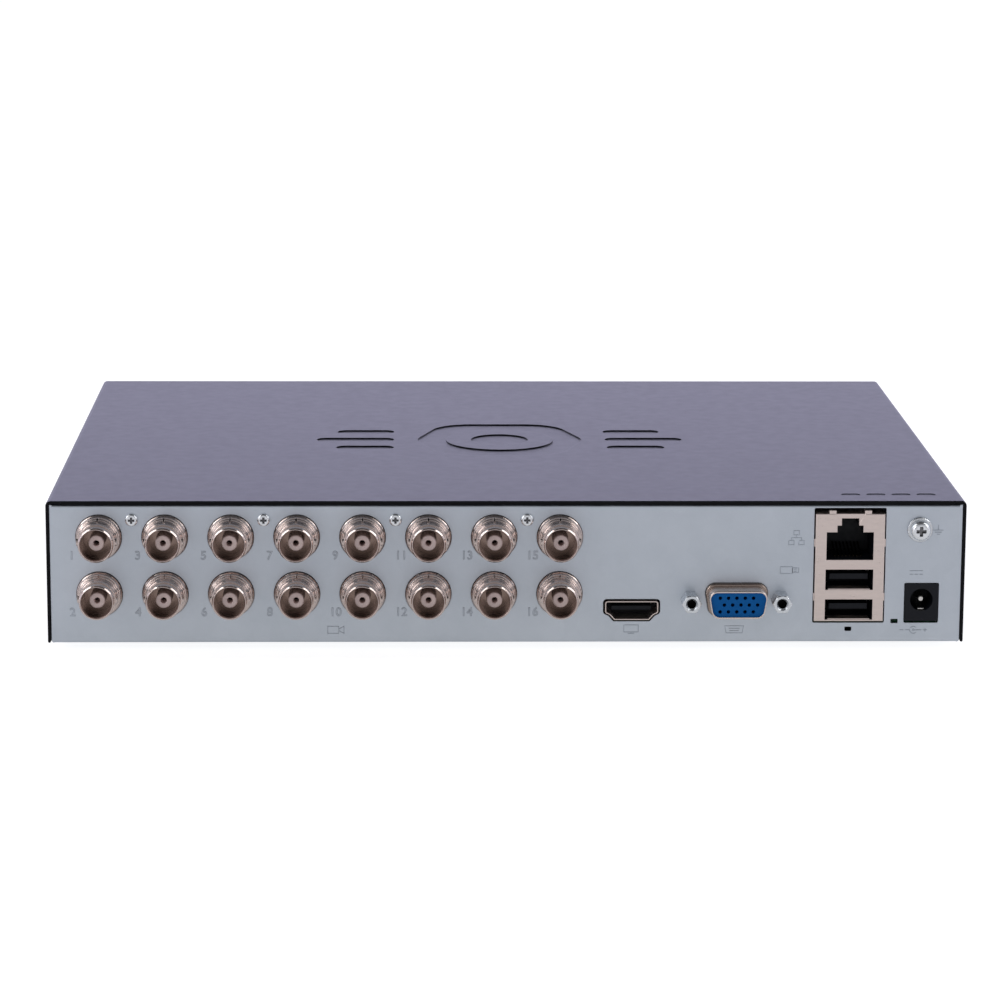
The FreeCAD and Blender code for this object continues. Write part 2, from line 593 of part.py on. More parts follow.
def jack_shell():
    """One jack's metal shell, turned round +Z, with the panel's outer face at height 0."""
    profile = [
        (INSULATOR_RADIUS, -SHELL_BACK),
        (5.95, -SHELL_BACK),
        (5.95, -BASE_SHEET),
        (FLANGE_RADIUS, -BASE_SHEET),
        (FLANGE_RADIUS, 0.8),
        (FLANGE_RADIUS - 0.25, 1.05),
        (5.95, 1.15),
        (5.85, 2.1),
        (5.6, 2.2),
        (5.5, 3.2),
        (5.25, 3.3),
        (5.15, 4.3),
        (COLLAR_RADIUS, 4.6),
        (COLLAR_RADIUS, COLLAR_TOP),
        (BARREL_RADIUS, COLLAR_TOP),
        (BARREL_RADIUS, JACK_REACH - 0.35),
        (BARREL_RADIUS - 0.3, JACK_REACH),
        (BORE_RADIUS + 0.2, JACK_REACH),
        (BORE_RADIUS, JACK_REACH - 0.6),
        (BORE_RADIUS - 0.1, 1.5),
        (INSULATOR_RADIUS, 1.5),
    ]
    lug_height = JACK_REACH - 4.7
    lugs = rod((-5.5, 0, lug_height), (5.5, 0, lug_height), 1.0).cut(
        Part.makeCylinder(BARREL_RADIUS - 0.3, 20)
    )
    rib = box((-0.25, 0.25), (-5.85, -BARREL_RADIUS + 0.2), (0.9, 4.4))
    slope = across([(-6.5, 1.0), (-5.2, 4.6), (-6.5, 4.6)], (-1, 1))
    return union([turned(profile), *lugs.Solids, rib.cut(slope)])


def jack_insulator():
    """The moulded tube inside a jack."""
    profile = [
        (CONTACT_RADIUS, -12.0),
        (INSULATOR_RADIUS, -12.0),
        (INSULATOR_RADIUS, 7.5),
        (INSULATOR_RADIUS - 0.2, 7.7),
        (CONTACT_RADIUS + 0.15, 7.7),
        (CONTACT_RADIUS, 7.5),
    ]
    return turned(profile)


def jack_contact():
    """The sprung socket at the middle of a jack, slit four ways at its mouth."""
    socket = turned([(0, -14.5), (CONTACT_RADIUS, -14.5), (CONTACT_RADIUS, 2.5), (0.45, 2.5), (0.45, -2), (0, -2)])
    slits = [box((-1, 1), (-0.08, 0.08), (-1, 3)), box((-0.08, 0.08), (-1, 1), (-1, 3))]
    return socket.cut(slits)


def hdmi_shell():
    """The rolled-steel shell of the high-definition socket."""
    rear_y = PANEL_Y + 0.5
    shell = facing_rear(HDMI_CORNERS, rear_y, 12.5, HDMI_AT)
    shell = shell.cut(facing_rear(HDMI_INNER, rear_y + 1, 12.8, HDMI_AT))
    legs = [box(around(HDMI_AT[0] + s * 6.9, 0.5), (rear_y - 9, rear_y - 6), (BOARD_TOP_Z, HDMI_AT[1] - 1)) for s in (-1, 1)]
    return union([shell, *legs])


def hdmi_tongue():
    """The moulding inside that socket, with the contact tongue."""
    x, z = HDMI_AT
    floor = facing_rear(HDMI_INNER, PANEL_Y - 7.5, 3.5, HDMI_AT)
    tongue = box(around(x, 11.0), (PANEL_Y - 7.6, PANEL_Y - 1.6), (z - 0.2, z + 0.9))
    return union([floor, tongue])


def vga_shell():
    """The D-shaped steel shell of the analogue video socket, with its flange behind the panel."""
    x, z = VGA_AT
    bead = facing_rear(d_shape(18.3, 9.4, 2.8), PANEL_Y + 1.2, 2.8, VGA_SHELL_AT)
    bead = bead.makeFillet(0.5, [e for e in bead.Edges if e.BoundBox.YMin > PANEL_Y + 1.1])
    tube_part = facing_rear(d_shape(16.8, 7.9, 2.3), PANEL_Y + 7.0, 8.0, VGA_SHELL_AT)
    tube_part = tube_part.makeFillet(0.3, [e for e in tube_part.Edges if e.BoundBox.YMin > PANEL_Y + 6.9])
    flange = box(around(x, 30.8), (PANEL_INNER_Y - 0.9, PANEL_INNER_Y - FIT), around(z, 11.6))
    shell = union([bead, tube_part, flange])
    tools = [facing_rear(d_shape(16.0, 6.9, 1.9), PANEL_Y + 8, 12, VGA_SHELL_AT)]
    for side in (-1, 1):
        post = x + side * VGA_POST_SPACING / 2
        tools.append(rod((post, PANEL_Y, z), (post, PANEL_Y - 5, z), 1.45))
    return without(shell, tools)


def vga_pin_places():
    """(x, z) of the fifteen contact holes, the middle row half a pitch along."""
    for row, shift in ((1, 0.25), (0, -0.25), (-1, 0.25)):
        for i in range(5):
            yield VGA_SHELL_AT[0] - 0.15 + (i - 2 + shift) * 2.29, VGA_SHELL_AT[1] - 0.1 + row * 1.93


def vga_insert():
    """The moulding that fills the D-shaped shell, and its body behind the flange."""
    x, z = VGA_AT
    front = facing_rear(d_shape(16.0, 6.9, 1.9), PANEL_Y + 6.3, 6.3 + BASE_SHEET + 0.9, VGA_SHELL_AT)
    body = box(around(x, 29.0), (PANEL_INNER_Y - 10.0, PANEL_INNER_Y - 0.9), (BOARD_TOP_Z, z + 5.8))
    holes = [rod((px, PANEL_Y + 7, pz), (px, PANEL_Y + 2.5, pz), 0.5) for px, pz in vga_pin_places()]
    for side in (-1, 1):
        post = x + side * VGA_POST_SPACING / 2
        holes.append(rod((post, PANEL_Y, z), (post, PANEL_Y - 5.6, z), 1.45))
    return without(union([front, body]), holes)


def vga_jack_posts():
    """The two tapped hexagon posts that take a plug's thumbscrews."""
    post = plate(hexagon(4.75), FIT, 6.4 - FIT)
    post = post.common(turned([(0, 0), (2.9, 0), (2.9, 5.9), (2.3, 6.4), (0, 6.4)]))
    post = union([post, rod((0, 0, -5.2), (0, 0, 1), 1.4)])
    bore = [Part.makeCylinder(1.2, 5.4, V(0, 0, 1.2)), Part.makeCone(1.2, 1.7, 0.55, V(0, 0, 5.86))]
    post = post.cut(bore)
    sides = [VGA_AT[0] + side * VGA_POST_SPACING / 2 for side in (-1, 1)]
    return group([placed(post, (x, PANEL_Y, VGA_AT[1]), REARWARD) for x in sides])


STACK_FACE_Y = PANEL_Y + 0.5
STACK_SHEET = 0.3
LAN_WIDTH = 13.0
LAN_BOTTOM_Z = LEVEL_Z + 22.8
LAN_TOP_Z = LEVEL_Z + 30.6
USB_SIZE = (13.2, 5.75)
USB_ZS = (LEVEL_Z + 17.2, LEVEL_Z + 8.75)


def lan_outline(grow=0.0):
    """The network socket's mouth, with the latch's two steps above it."""
    left = [
        (-2.4 - grow, LEVEL_Z + 34.5 + grow),
        (-2.4 - grow, LEVEL_Z + 32.5),
        (-3.6 - grow, LEVEL_Z + 32.5),
        (-3.6 - grow, LAN_TOP_Z),
        (-LAN_WIDTH / 2, LAN_TOP_Z),
        (-LAN_WIDTH / 2, LAN_BOTTOM_Z),
    ]
    return mirrored(left)


def port_stack_shell():
    """The tinned shield round the network socket and the two serial-bus sockets."""
    x, z0 = STACK_X, BOARD_TOP_Z
    outer = box(around(x, STACK_WIDTH), (STACK_FACE_Y - STACK_DEPTH, STACK_FACE_Y), (z0, z0 + STACK_HEIGHT))
    edge = [e for e in outer.Edges if e.BoundBox.YMin > STACK_FACE_Y - 0.1]
    outer = outer.makeFillet(0.25, edge)
    inner = box(
        around(x, STACK_WIDTH - 2 * STACK_SHEET),
        (STACK_FACE_Y - STACK_DEPTH - 1, STACK_FACE_Y - STACK_SHEET),
        (z0 - 1, z0 + STACK_HEIGHT - STACK_SHEET),
    )
    tools = [inner, facing_rear(lan_outline(), STACK_FACE_Y + 1, 3, (x, 0))]
    tools += [facing_rear(rectangle(*USB_SIZE), STACK_FACE_Y + 1, 3, (x, z)) for z in USB_ZS]
    funnel = mirrored([(-4.1, 1.3), (-2.4, -1.7)])
    tools.append(facing_rear(funnel, STACK_FACE_Y + 1, 1.12, (x, LEVEL_Z + 34.5)))
    shell = without(outer, tools)
    fingers = []
    for side in (-1, 1):
        top = (PANEL_Y - 2.5, STACK_FACE_Y - 0.1)
        fingers.append(box(around(x + side * 4.9, 1.9), top, (z0 + STACK_HEIGHT - 0.1, z0 + STACK_HEIGHT + 0.9)))
        for z in (LEVEL_Z + 12.3, LEVEL_Z + 27.6):
            bulge = sorted((x + side * (STACK_WIDTH / 2 - 0.1), x + side * (STACK_WIDTH / 2 + 0.28)))
            fingers.append(box(bulge, (PANEL_Y - 2.5, PANEL_Y + 0.25), around(z, 2.2)))
    lips = []
    for z in USB_ZS:
        lips.append(box(around(x, 11.6), (STACK_FACE_Y - 4, STACK_FACE_Y - 0.15), around(z - USB_SIZE[1] / 2 + 0.15, 0.3)))
    return union([shell, *fingers, *lips])


def port_stack_insert():
    """The moulding inside the shield: the sockets' walls and the serial-bus tongues."""
    x, z0 = STACK_X, BOARD_TOP_Z
    face_y = STACK_FACE_Y - STACK_SHEET
    body = box(
        around(x, STACK_WIDTH - 2 * STACK_SHEET),
        (STACK_FACE_Y - STACK_DEPTH, face_y),
        (z0, z0 + STACK_HEIGHT - STACK_SHEET),
    )
    tools = [facing_rear(lan_outline(), face_y + 1, 14.0, (x, 0))]
    tongues = []
    for z in USB_ZS:
        tools.append(facing_rear(rectangle(*USB_SIZE), face_y + 1, 12.0, (x, z)))
        tongues.append(box(around(x, 10.6), (face_y - 11.1, face_y - 1.6), (z - 0.2, z + 1.35)))
    return union([without(body, tools), *tongues])


def port_stack_contacts():
    """The gilt contacts: eight sprung wires in the network socket and four strips on each tongue."""
    face_y = STACK_FACE_Y - STACK_SHEET
    pieces = []
    for i in range(8):
        x = STACK_X + 1.02 * (i - 3.5)
        low, high = LAN_BOTTOM_Z + 0.01, LAN_BOTTOM_Z + 2.6
        wire = [(face_y - 4.5, low), (face_y - 4.5, low + 0.3), (face_y - 12.0, high), (face_y - 12.0, high - 0.35)]
        pieces.append(across(wire, around(x, 0.4)))
    for z in USB_ZS:
        for x in (-3.5, -1.0, 1.0, 3.5):
            strip = (z - 0.38, z - 0.2)
            pieces.append(box(around(STACK_X + x, 1.0), (face_y - 10.9, face_y - 2.4), strip))
    return group(pieces)


def power_jack_body():
    """The moulded body of the barrel power socket."""
    rear_y = PANEL_Y + 0.2
    body = facing_rear(rectangle(9.3, 10.6, 0.4), rear_y, 14.0, (POWER_X, BOARD_TOP_Z + 5.3))
    bore = rod((POWER_X, rear_y + 1, POWER_HOLE_Z), (POWER_X, rear_y - 10.0, POWER_HOLE_Z), 3.15)
    tail = rod((POWER_X, rear_y + 1, POWER_HOLE_Z), (POWER_X, rear_y - 12.0, POWER_HOLE_Z), 1.0)
    return without(body, [bore, tail])


def power_jack_contacts():
    """The barrel socket's centre pin, and its sprung outer contact lying in the bore."""
    y = PANEL_Y + 0.2
    pin = turned([(0, -12.0), (1.0, -12.0), (1.0, -1.9), (0.6, -1.4), (0, -1.4)])
    pin = placed(pin, (POWER_X, y, POWER_HOLE_Z), REARWARD)
    spring = box(around(POWER_X, 1.8), (y - 9.5, y - 1.2), (POWER_HOLE_Z - 2.95, POWER_HOLE_Z - 2.6))
    return group([pin, spring])


# ---------------------------------------------------------------- main board

SATA_X = 88.0
DRIVE_POWER_X = 103.0
LIGHTS_LEAD_X = 115.0
LEAD_Z = BOARD_TOP_Z + 3.0
HEADER_DEPTH = 9.0
SOC_AT = (-52.0, 48.0)
CHIPS = (
    # x, y, width, length, height
    (103.1, 65.0, 12.0, 12.0, 1.2),
    (66.9, 65.0, 12.0, 12.0, 1.2),
    (30.7, 65.0, 12.0, 12.0, 1.2),
    (-5.5, 65.0, 12.0, 12.0, 1.2),
    (SOC_AT[0], SOC_AT[1], 23.0, 23.0, 2.0),
    (-18.0, 38.0, 9.0, 12.5, 1.1),
    (-5.5, 38.0, 9.0, 12.5, 1.1),
    (6.0, 30.0, 5.0, 6.2, 1.5),
    (-92.0, 52.0, 9.0, 9.0, 1.2),
    (-40.0, 74.0, 6.0, 5.0, 1.2),
)
CAPACITORS = (
    # x, y, radius, height
    (-116.0, 70.5, 4.0, 11.0),
    (-106.5, 55.0, 4.0, 11.0),
    (-96.0, 36.0, 3.15, 7.0),
    (-86.0, 28.0, 3.15, 7.0),
    (76.0, 36.0, 3.15, 7.0),
    (44.0, 30.0, 2.5, 5.8),
    (8.0, 68.0, 2.5, 5.8),
    (-26.0, 68.0, 2.5, 5.8),
)
COILS = ((-112.0, 40.0, 12.0, 6.0), (-98.0, 24.8, 7.2, 4.2), (-78.0, 68.0, 7.2, 4.2), (60.0, 36.0, 7.2, 4.2))
CELL_AT = (24.0, 41.0)


def main_board():
    """The main circuit board."""
    z = BOARD_TOP_Z - BOARD_THICK
    board = plate(
        [
            (-BOARD_HALF, BOARD_FRONT_Y, 2),
            (BOARD_HALF, BOARD_FRONT_Y, 2),
            (BOARD_HALF, BOARD_REAR_Y, 2),
            (-BOARD_HALF, BOARD_REAR_Y, 2),
        ],
        z,
        BOARD_THICK,
    )
    holes = [rod((x, y, z - 1), (x, y, BOARD_TOP_Z + 1), M3_RADIUS + 0.1) for x, y in BOARD_SCREWS]
    return without(board, holes)


def board_chips():
    """The processor, its memory, the four video decoders and the smaller circuits."""
    chips = []
    for x, y, width, length, height in CHIPS:
        body = box(around(x, width), around(y, length), (BOARD_TOP_Z + 0.1, BOARD_TOP_Z + height))
        top = [e for e in body.Edges if e.BoundBox.ZMin > BOARD_TOP_Z + height - 0.01]
        body = body.makeChamfer(0.15, top)
        solder = box(around(x, width - 1), around(y, length - 1), (BOARD_TOP_Z, BOARD_TOP_Z + 0.15))
        chips.append(union([body, solder]))
    return group(chips)


def heat_sink():
    """The finned aluminium block on the processor."""
    size, base, height, fins = 38.0, 2.2, 13.0, 10
    z = BOARD_TOP_Z + 2.0
    block = box(around(SOC_AT[0], size), around(SOC_AT[1], size), (z, z + height))
    pitch = size / fins
    tools = []
    for i in range(fins - 1):
        x = SOC_AT[0] - size / 2 + pitch * (i + 1)
        tools.append(box(around(x, pitch - 1.3), around(SOC_AT[1], size + 2), (z + base, z + height + 1)))
    return without(block, tools)


def board_capacitors():
    """The upright electrolytic capacitors."""
    cans = []
    for x, y, radius, height in CAPACITORS:
        profile = [
            (0, 0),
            (radius, 0),
            (radius, 1.2),
            (radius - 0.25, 1.45),
            (radius - 0.25, 1.75),
            (radius, 2.0),
            (radius, height - 0.5),
            (radius - 0.5, height),
            (radius - 1.0, height),
            (radius - 1.1, height - 0.15),
            (0, height - 0.15),
        ]
        can = turned(profile)
        score = [box((-radius, radius), (-0.12, 0.12), (height - 0.35, height + 1))]
        score.append(box((-0.12, 0.12), (-radius, radius), (height - 0.35, height + 1)))
        inside = Part.makeCylinder(radius - 1.2, 4, V(0, 0, height - 1))
        can = can.cut([s.common(inside) for s in score])
        cans.append(placed(can, (x, y, BOARD_TOP_Z)))
    return group(cans)


def board_coils():
    """The moulded power inductors."""
    coils = []
    for x, y, size, height in COILS:
        corners = rectangle(size, size, size / 5)
        coil = plate(corners, BOARD_TOP_Z, height, (x, y))
        top = [e for e in coil.Edges if e.BoundBox.ZMin > BOARD_TOP_Z + height - 0.01]
        coils.append(coil.makeFillet(0.4, top))
    return group(coils)


def header(x, width, height):
    """A right-angle header on the board's front edge, open towards -Y."""
    y = (BOARD_FRONT_Y, BOARD_FRONT_Y + HEADER_DEPTH)
    body = box(around(x, width), y, (BOARD_TOP_Z, BOARD_TOP_Z + height))
    mouth = box(around(x, width - 1.6), (y[0] - 1, y[0] + 6), (BOARD_TOP_Z + 0.8, BOARD_TOP_Z + height - 0.8))
    return body.cut(mouth)


def board_headers():
    """The headers for the drive's two leads and the status lights' lead."""
    return group([header(SATA_X, 14.5, 6.0), header(DRIVE_POWER_X, 11.6, 6.0), header(LIGHTS_LEAD_X, 8.0, 6.0)])


def cell_holder():
    """The round clip that holds the clock's coin cell."""
    x, y = CELL_AT
    ring = Part.makeCylinder(11.8, 4.4).cut(Part.makeCylinder(10.1, 4, V(0, 0, 1.0)))
    gaps = [box((-6, 6), (-13, 13), (2.2, 6)), box((7, 13), (-4, 4), (2.2, 6))]
    ring = ring.cut(gaps)
    return placed(ring, (x, y, BOARD_TOP_Z))


def coin_cell():
    """The clock's coin cell."""
    profile = [(0, 0), (8.6, 0), (8.6, 0.5), (10.0, 0.7), (10.0, 3.0), (9.8, 3.2), (0, 3.2)]
    return placed(turned(profile), (*CELL_AT, BOARD_TOP_Z + 1.0))


def buzzer():
    """The round sounder."""
    profile = [(0, 0), (6.0, 0), (6.0, 6.2), (5.7, 6.5), (1.2, 6.5), (1.2, 5.5), (0, 5.5)]
    return placed(turned(profile), (44.0, 44.0, BOARD_TOP_Z))


def lights_board():
    """The small board behind the light guide, with its three lights and its socket."""
    y = LIGHTS_BOARD_Y
    board = box((80.0, 121.0), (y, y + 1.0), (LEVEL_Z + 16.5, LEVEL_Z + 27.5))
    lights = [box(around(x, 2.0), (y - 0.9, y), around(LIGHT_Z, 1.4)) for x in LIGHT_XS]
    socket = box(around(LIGHTS_LEAD_X, 8.0), (y + 1.0, y + 4.6), around(LIGHT_Z, 4.2))
    return group([board, *lights, socket])


# ---------------------------------------------------------------- hard drive

DRIVE_END_X = DRIVE_X + DRIVE_LENGTH
LID_SCREW_RADIUS = 1.0
DRIVE_PLUG_Z = LEAD_Z
SATA_PLUG_Y = DRIVE_Y + 74.0
POWER_PLUG_Y = DRIVE_Y + 47.0


PLATTER_TOP_Z = PLATTER_ZS[-1] + PLATTER_THICK
BOWL_FLOOR_Z = DRIVE_Z + DRIVE_FLOOR
HUB_BOTTOM_Z = BOWL_FLOOR_Z + 0.3
ARM_ZS = (PLATTER_ZS[0] - 1.7, (PLATTER_ZS[0] + PLATTER_THICK + PLATTER_ZS[1]) / 2, PLATTER_TOP_Z + 1.7)
COIL_THICK = 3.0
COIL_GAP = 0.5  # between the coil and the magnet plates above and below it


def lid_screw_places():
    """(x, y) of the lid's screws."""
    xs = (DRIVE_X + 5.0, DRIVE_X + 74.0, DRIVE_END_X - 4.0)
    return [(x, y) for x in xs for y in (DRIVE_Y + 4.0, DRIVE_Y + DRIVE_WIDTH - 4.0)]


def drive_base():
    """The drive's cast case, with the bowl for its platters and arm, their spindle and pivot post."""
    x, y = (DRIVE_X, DRIVE_END_X), (DRIVE_Y, DRIVE_Y + DRIVE_WIDTH)
    top_z = DRIVE_Z + DRIVE_HEIGHT - DRIVE_LID
    corners = [(x[0], y[0], 3), (x[1], y[0], 3), (x[1], y[1], 3), (x[0], y[1], 3)]
    body = plate(corners, DRIVE_Z, top_z - DRIVE_Z)
    bowl = Part.makeCylinder(PLATTER_RADIUS + 0.7, 30, V(*SPINDLE, BOWL_FLOOR_Z))
    room_x = (PIVOT[0] - 26, x[1] - 6)
    room_y = (y[0] + DRIVE_WALL, y[1] - DRIVE_WALL)
    corners = [(room_x[0], room_y[0], 4), (room_x[1], room_y[0], 4), (room_x[1], room_y[1], 4), (room_x[0], room_y[1], 4)]
    arm_room = plate(corners, BOWL_FLOOR_Z, 30)
    under = box((x[0] + 30, x[1] + 1), (y[0] + 8, y[1] - 8), (DRIVE_Z - 1, DRIVE_Z + 3.2))
    tools = [bowl, arm_room, under]
    tools += [rod((hx, hy, DRIVE_Z - 1), (hx, hy, DRIVE_Z + 5.0), M3_RADIUS + FIT) for hx, hy in DRIVE_HOLES]
    tools += [rod((hx, hy, top_z - 5), (hx, hy, top_z + 1), LID_SCREW_RADIUS + FIT) for hx, hy in lid_screw_places()]
    for dx in (28.5, 130.1):
        for edge, inward in ((y[0], 1), (y[1], -1)):
            hole_z = DRIVE_Z + 6.35
            tools.append(rod((x[0] + dx, edge, hole_z), (x[0] + dx, edge + inward * 2.6, hole_z), M3_RADIUS))
    spindle = rod((*SPINDLE, BOWL_FLOOR_Z - 0.1), (*SPINDLE, PLATTER_TOP_Z - 2.0), SPINDLE_RADIUS)
    post = rod((*PIVOT, BOWL_FLOOR_Z - 0.1), (*PIVOT, ARM_ZS[-1] + 1.8), PIVOT_RADIUS)
    return union([without(body, tools), spindle, post])


def drive_lid():
    """The drive's pressed lid, with a raised round over the platters."""
    x, y = (DRIVE_X + 0.4, DRIVE_END_X - 0.4), (DRIVE_Y + 0.4, DRIVE_Y + DRIVE_WIDTH - 0.4)
    z = DRIVE_Z + DRIVE_HEIGHT - DRIVE_LID
    sheet = plate([(x[0], y[0], 4), (x[1], y[0], 4), (x[1], y[1], 4), (x[0], y[1], 4)], z, 0.8)
    round_rise = Part.makeCone(44.0, 43.0, 0.4, V(*SPINDLE, z + 0.8))
    arm_rise = plate(rectangle(56.0, 84.0, 10), z + 0.79, 0.41, (PIVOT[0] + 4, SPINDLE[1]))
    tools = [Part.makeCylinder(12.0, 1, V(*SPINDLE, z + 0.9))]
    for px, py in lid_screw_places():
        tools.append(rod((px, py, z + 0.35), (px, py, z + 2), 1.7))
        tools.append(rod((px, py, z - 1), (px, py, z + 2), LID_SCREW_RADIUS + FIT))
    return without(union([sheet, round_rise, arm_rise]), tools)


def drive_lid_screws():
    """The lid's screws."""
    z = DRIVE_Z + DRIVE_HEIGHT - DRIVE_LID + 0.35
    screw = pan_screw(1.6, 0.8, LID_SCREW_RADIUS, 4.5)
    return group([placed(screw, (x, y, z)) for x, y in lid_screw_places()])


def drive_platters():
    """The hub with its platters and clamp, which spin as one on the spindle."""
    top, edge = PLATTER_TOP_Z, 0.2
    hub = [(0, HUB_BOTTOM_Z), (14.0, HUB_BOTTOM_Z), (14.0, HUB_BOTTOM_Z + 2.5), (12.4, HUB_BOTTOM_Z + 2.5), (12.4, top), (0, top)]
    discs = []
    for z in PLATTER_ZS:
        rim = [(PLATTER_RADIUS - edge, z), (PLATTER_RADIUS, z + edge)]
        rim += [(PLATTER_RADIUS, z + PLATTER_THICK - edge), (PLATTER_RADIUS - edge, z + PLATTER_THICK)]
        discs.append(turned([(12.4, z), *rim, (12.4, z + PLATTER_THICK)]))
    clamp = turned([(0, top), (16.0, top), (15.6, top + 1.2), (5.0, top + 1.8), (4.6, top + 1.2), (0, top + 1.2)])
    tools = []
    for i in range(6):
        angle = math.radians(60 * i)
        tools.append(Part.makeCylinder(1.2, 2, V(10 * math.cos(angle), 10 * math.sin(angle), top + 0.8)))
    bore = Part.makeCylinder(SPINDLE_RADIUS + RUNNING, top - 1.7 - HUB_BOTTOM_Z + 1, V(0, 0, HUB_BOTTOM_Z - 1))
    spool = union([turned(hub), *discs, clamp.cut(tools)]).cut(bore)
    return placed(spool, (*SPINDLE, 0))


def drive_arm():
    """The head arm: its bearing, three fingers with their heads, and the coil behind."""
    bearing = rod((0, 0, HUB_BOTTOM_Z), (0, 0, ARM_ZS[-1] + 1.5), 5.5)
    pieces = [bearing]
    tip = ARM_LENGTH
    for z in ARM_ZS:
        blade = [(0, -4.5), (tip - 12, -1.8), (tip, -0.8), (tip, 0.8), (tip - 12, 1.8), (0, 4.5)]
        pieces.append(plate(blade, z - 0.4, 0.8))
        pieces.append(box((tip - 2.0, tip + 0.5), (-0.8, 0.8), (z - 0.6, z + 0.6)))
    coil_z = ARM_ZS[1] - COIL_THICK / 2
    coil = plate([(0, -4.5), (-10, -12, 2), (-25, -10, 3), (-25, 10, 3), (-10, 12, 2), (0, 4.5)], coil_z, COIL_THICK)
    window = plate([(-12, -6, 2), (-21, -5.5, 2), (-21, 5.5, 2), (-12, 6, 2)], coil_z - 1, COIL_THICK + 2)
    pieces.append(coil.cut(window))
    bore = rod((0, 0, HUB_BOTTOM_Z - 1), (0, 0, ARM_ZS[-1] + 3), PIVOT_RADIUS + RUNNING)
    arm = union(pieces).cut(bore)
    arm.Placement = FreeCAD.Placement(V(*PIVOT, 0), FreeCAD.Rotation(UP, ARM_PARKED))
    return arm


def drive_magnets():
    """The two magnet plates above and below the arm's coil, joined by two posts."""
    inner, outer, start = 11.0, 33.0, 4.6
    low = (ARM_ZS[1] - COIL_THICK / 2 - COIL_GAP - 3.4, 3.4)
    high = (ARM_ZS[1] + COIL_THICK / 2 + COIL_GAP, 3.4)
    pieces = []
    for z, thick in (low, high):
        sector = Part.makeCylinder(outer, thick, V(0, 0, z), UP, 90)
        pieces.append(sector.cut(Part.makeCylinder(inner, 60)))
    for angle in (4.5, 85.5):
        x, y = 31.0 * math.cos(math.radians(angle)), 31.0 * math.sin(math.radians(angle))
        pieces.append(rod((x, y, BOWL_FLOOR_Z), (x, y, high[0] + high[1]), 1.9))
    plates = union(pieces)
    plates.Placement = FreeCAD.Placement(V(*PIVOT, 0), FreeCAD.Rotation(UP, start))
    return plates


def drive_board():
    """The drive's own circuit board under its case, with the combined data and power socket."""
    x, y = (DRIVE_X + 34, DRIVE_END_X - 3.5), (DRIVE_Y + 10, DRIVE_Y + DRIVE_WIDTH - 10)
    board = box(x, y, (DRIVE_Z + 0.9, DRIVE_Z + 2.0))
    chip = box((DRIVE_X + 70, DRIVE_X + 84), (DRIVE_Y + 40, DRIVE_Y + 54), (DRIVE_Z + 2.0, DRIVE_Z + 3.1))
    socket = box((DRIVE_END_X - 3.5, DRIVE_END_X), (DRIVE_Y + 34, DRIVE_Y + 83), (DRIVE_Z - 0.6, DRIVE_Z + 3.2))
    return group([board, chip, socket])


# ---------------------------------------------------------------- leads


def lead_plugs(drive_y, drive_width, header_x, header_width):
    """The two plugs of a drive lead, one on the drive's end and one in its header."""
    at_drive = box((DRIVE_END_X, DRIVE_END_X + 9.0), around(drive_y, drive_width), around(DRIVE_PLUG_Z - 1.2, 5.2))
    grip = box((DRIVE_END_X + 9.0, DRIVE_END_X + 13.0), around(drive_y, drive_width - 3), around(DRIVE_PLUG_Z - 0.8, 4.4))
    at_board = box(around(header_x, header_width), (BOARD_FRONT_Y - 7.0, BOARD_FRONT_Y + 5.8), around(LEAD_Z, 4.2))
    return [union([at_drive, grip]), at_board]


def drive_data_lead():
    """The drive's data lead, between two plugs."""
    start = (DRIVE_END_X + 13.0, SATA_PLUG_Y, LEAD_Z)
    corner = (SATA_X, SATA_PLUG_Y, LEAD_Z)
    wire = tube([start, corner, (SATA_X, BOARD_FRONT_Y - 7.0, LEAD_Z)], 1.9, 9.0)
    return group([*lead_plugs(SATA_PLUG_Y, 13.0, SATA_X, 12.6), wire])


def drive_power_lead():
    """The drive's power lead: four wires side by side between two plugs."""
    wires = []
    for i in range(4):
        shift = 2.2 * (i - 1.5)
        y = POWER_PLUG_Y - shift
        x = DRIVE_POWER_X + shift
        route = [(DRIVE_END_X + 13.0, y, LEAD_Z), (x, y, LEAD_Z), (x, BOARD_FRONT_Y - 7.0, LEAD_Z)]
        wires.append(tube(route, 0.9, 14.0 + shift))
    return group([*lead_plugs(POWER_PLUG_Y, 21.0, DRIVE_POWER_X, 9.8), *wires])


def status_lights_lead():
    """The thin lead from the main board to the lights' board."""
    wires = []
    socket_y = LIGHTS_BOARD_Y + 4.6
    for i in range(4):
        x = LIGHTS_LEAD_X + 1.4 * (i - 1.5)
        route = [
            (x, socket_y + 5.0, LIGHT_Z),
            (x, socket_y + 26.0, LIGHT_Z),
            (x, socket_y + 50.0, LEAD_Z),
            (x, BOARD_FRONT_Y - 5.0, LEAD_Z),
        ]
        wires.append(tube(route, 0.6, 16.0))
    at_board = box(around(LIGHTS_LEAD_X, 6.2), (BOARD_FRONT_Y - 5.0, BOARD_FRONT_Y + 5.8), around(LEAD_Z, 4.2))
    at_lights = box(around(LIGHTS_LEAD_X, 6.2), (socket_y, socket_y + 5.0), around(LIGHT_Z, 4.0))
    return group([at_board, at_lights, *wires])


# ---------------------------------------------------------------- the nodes


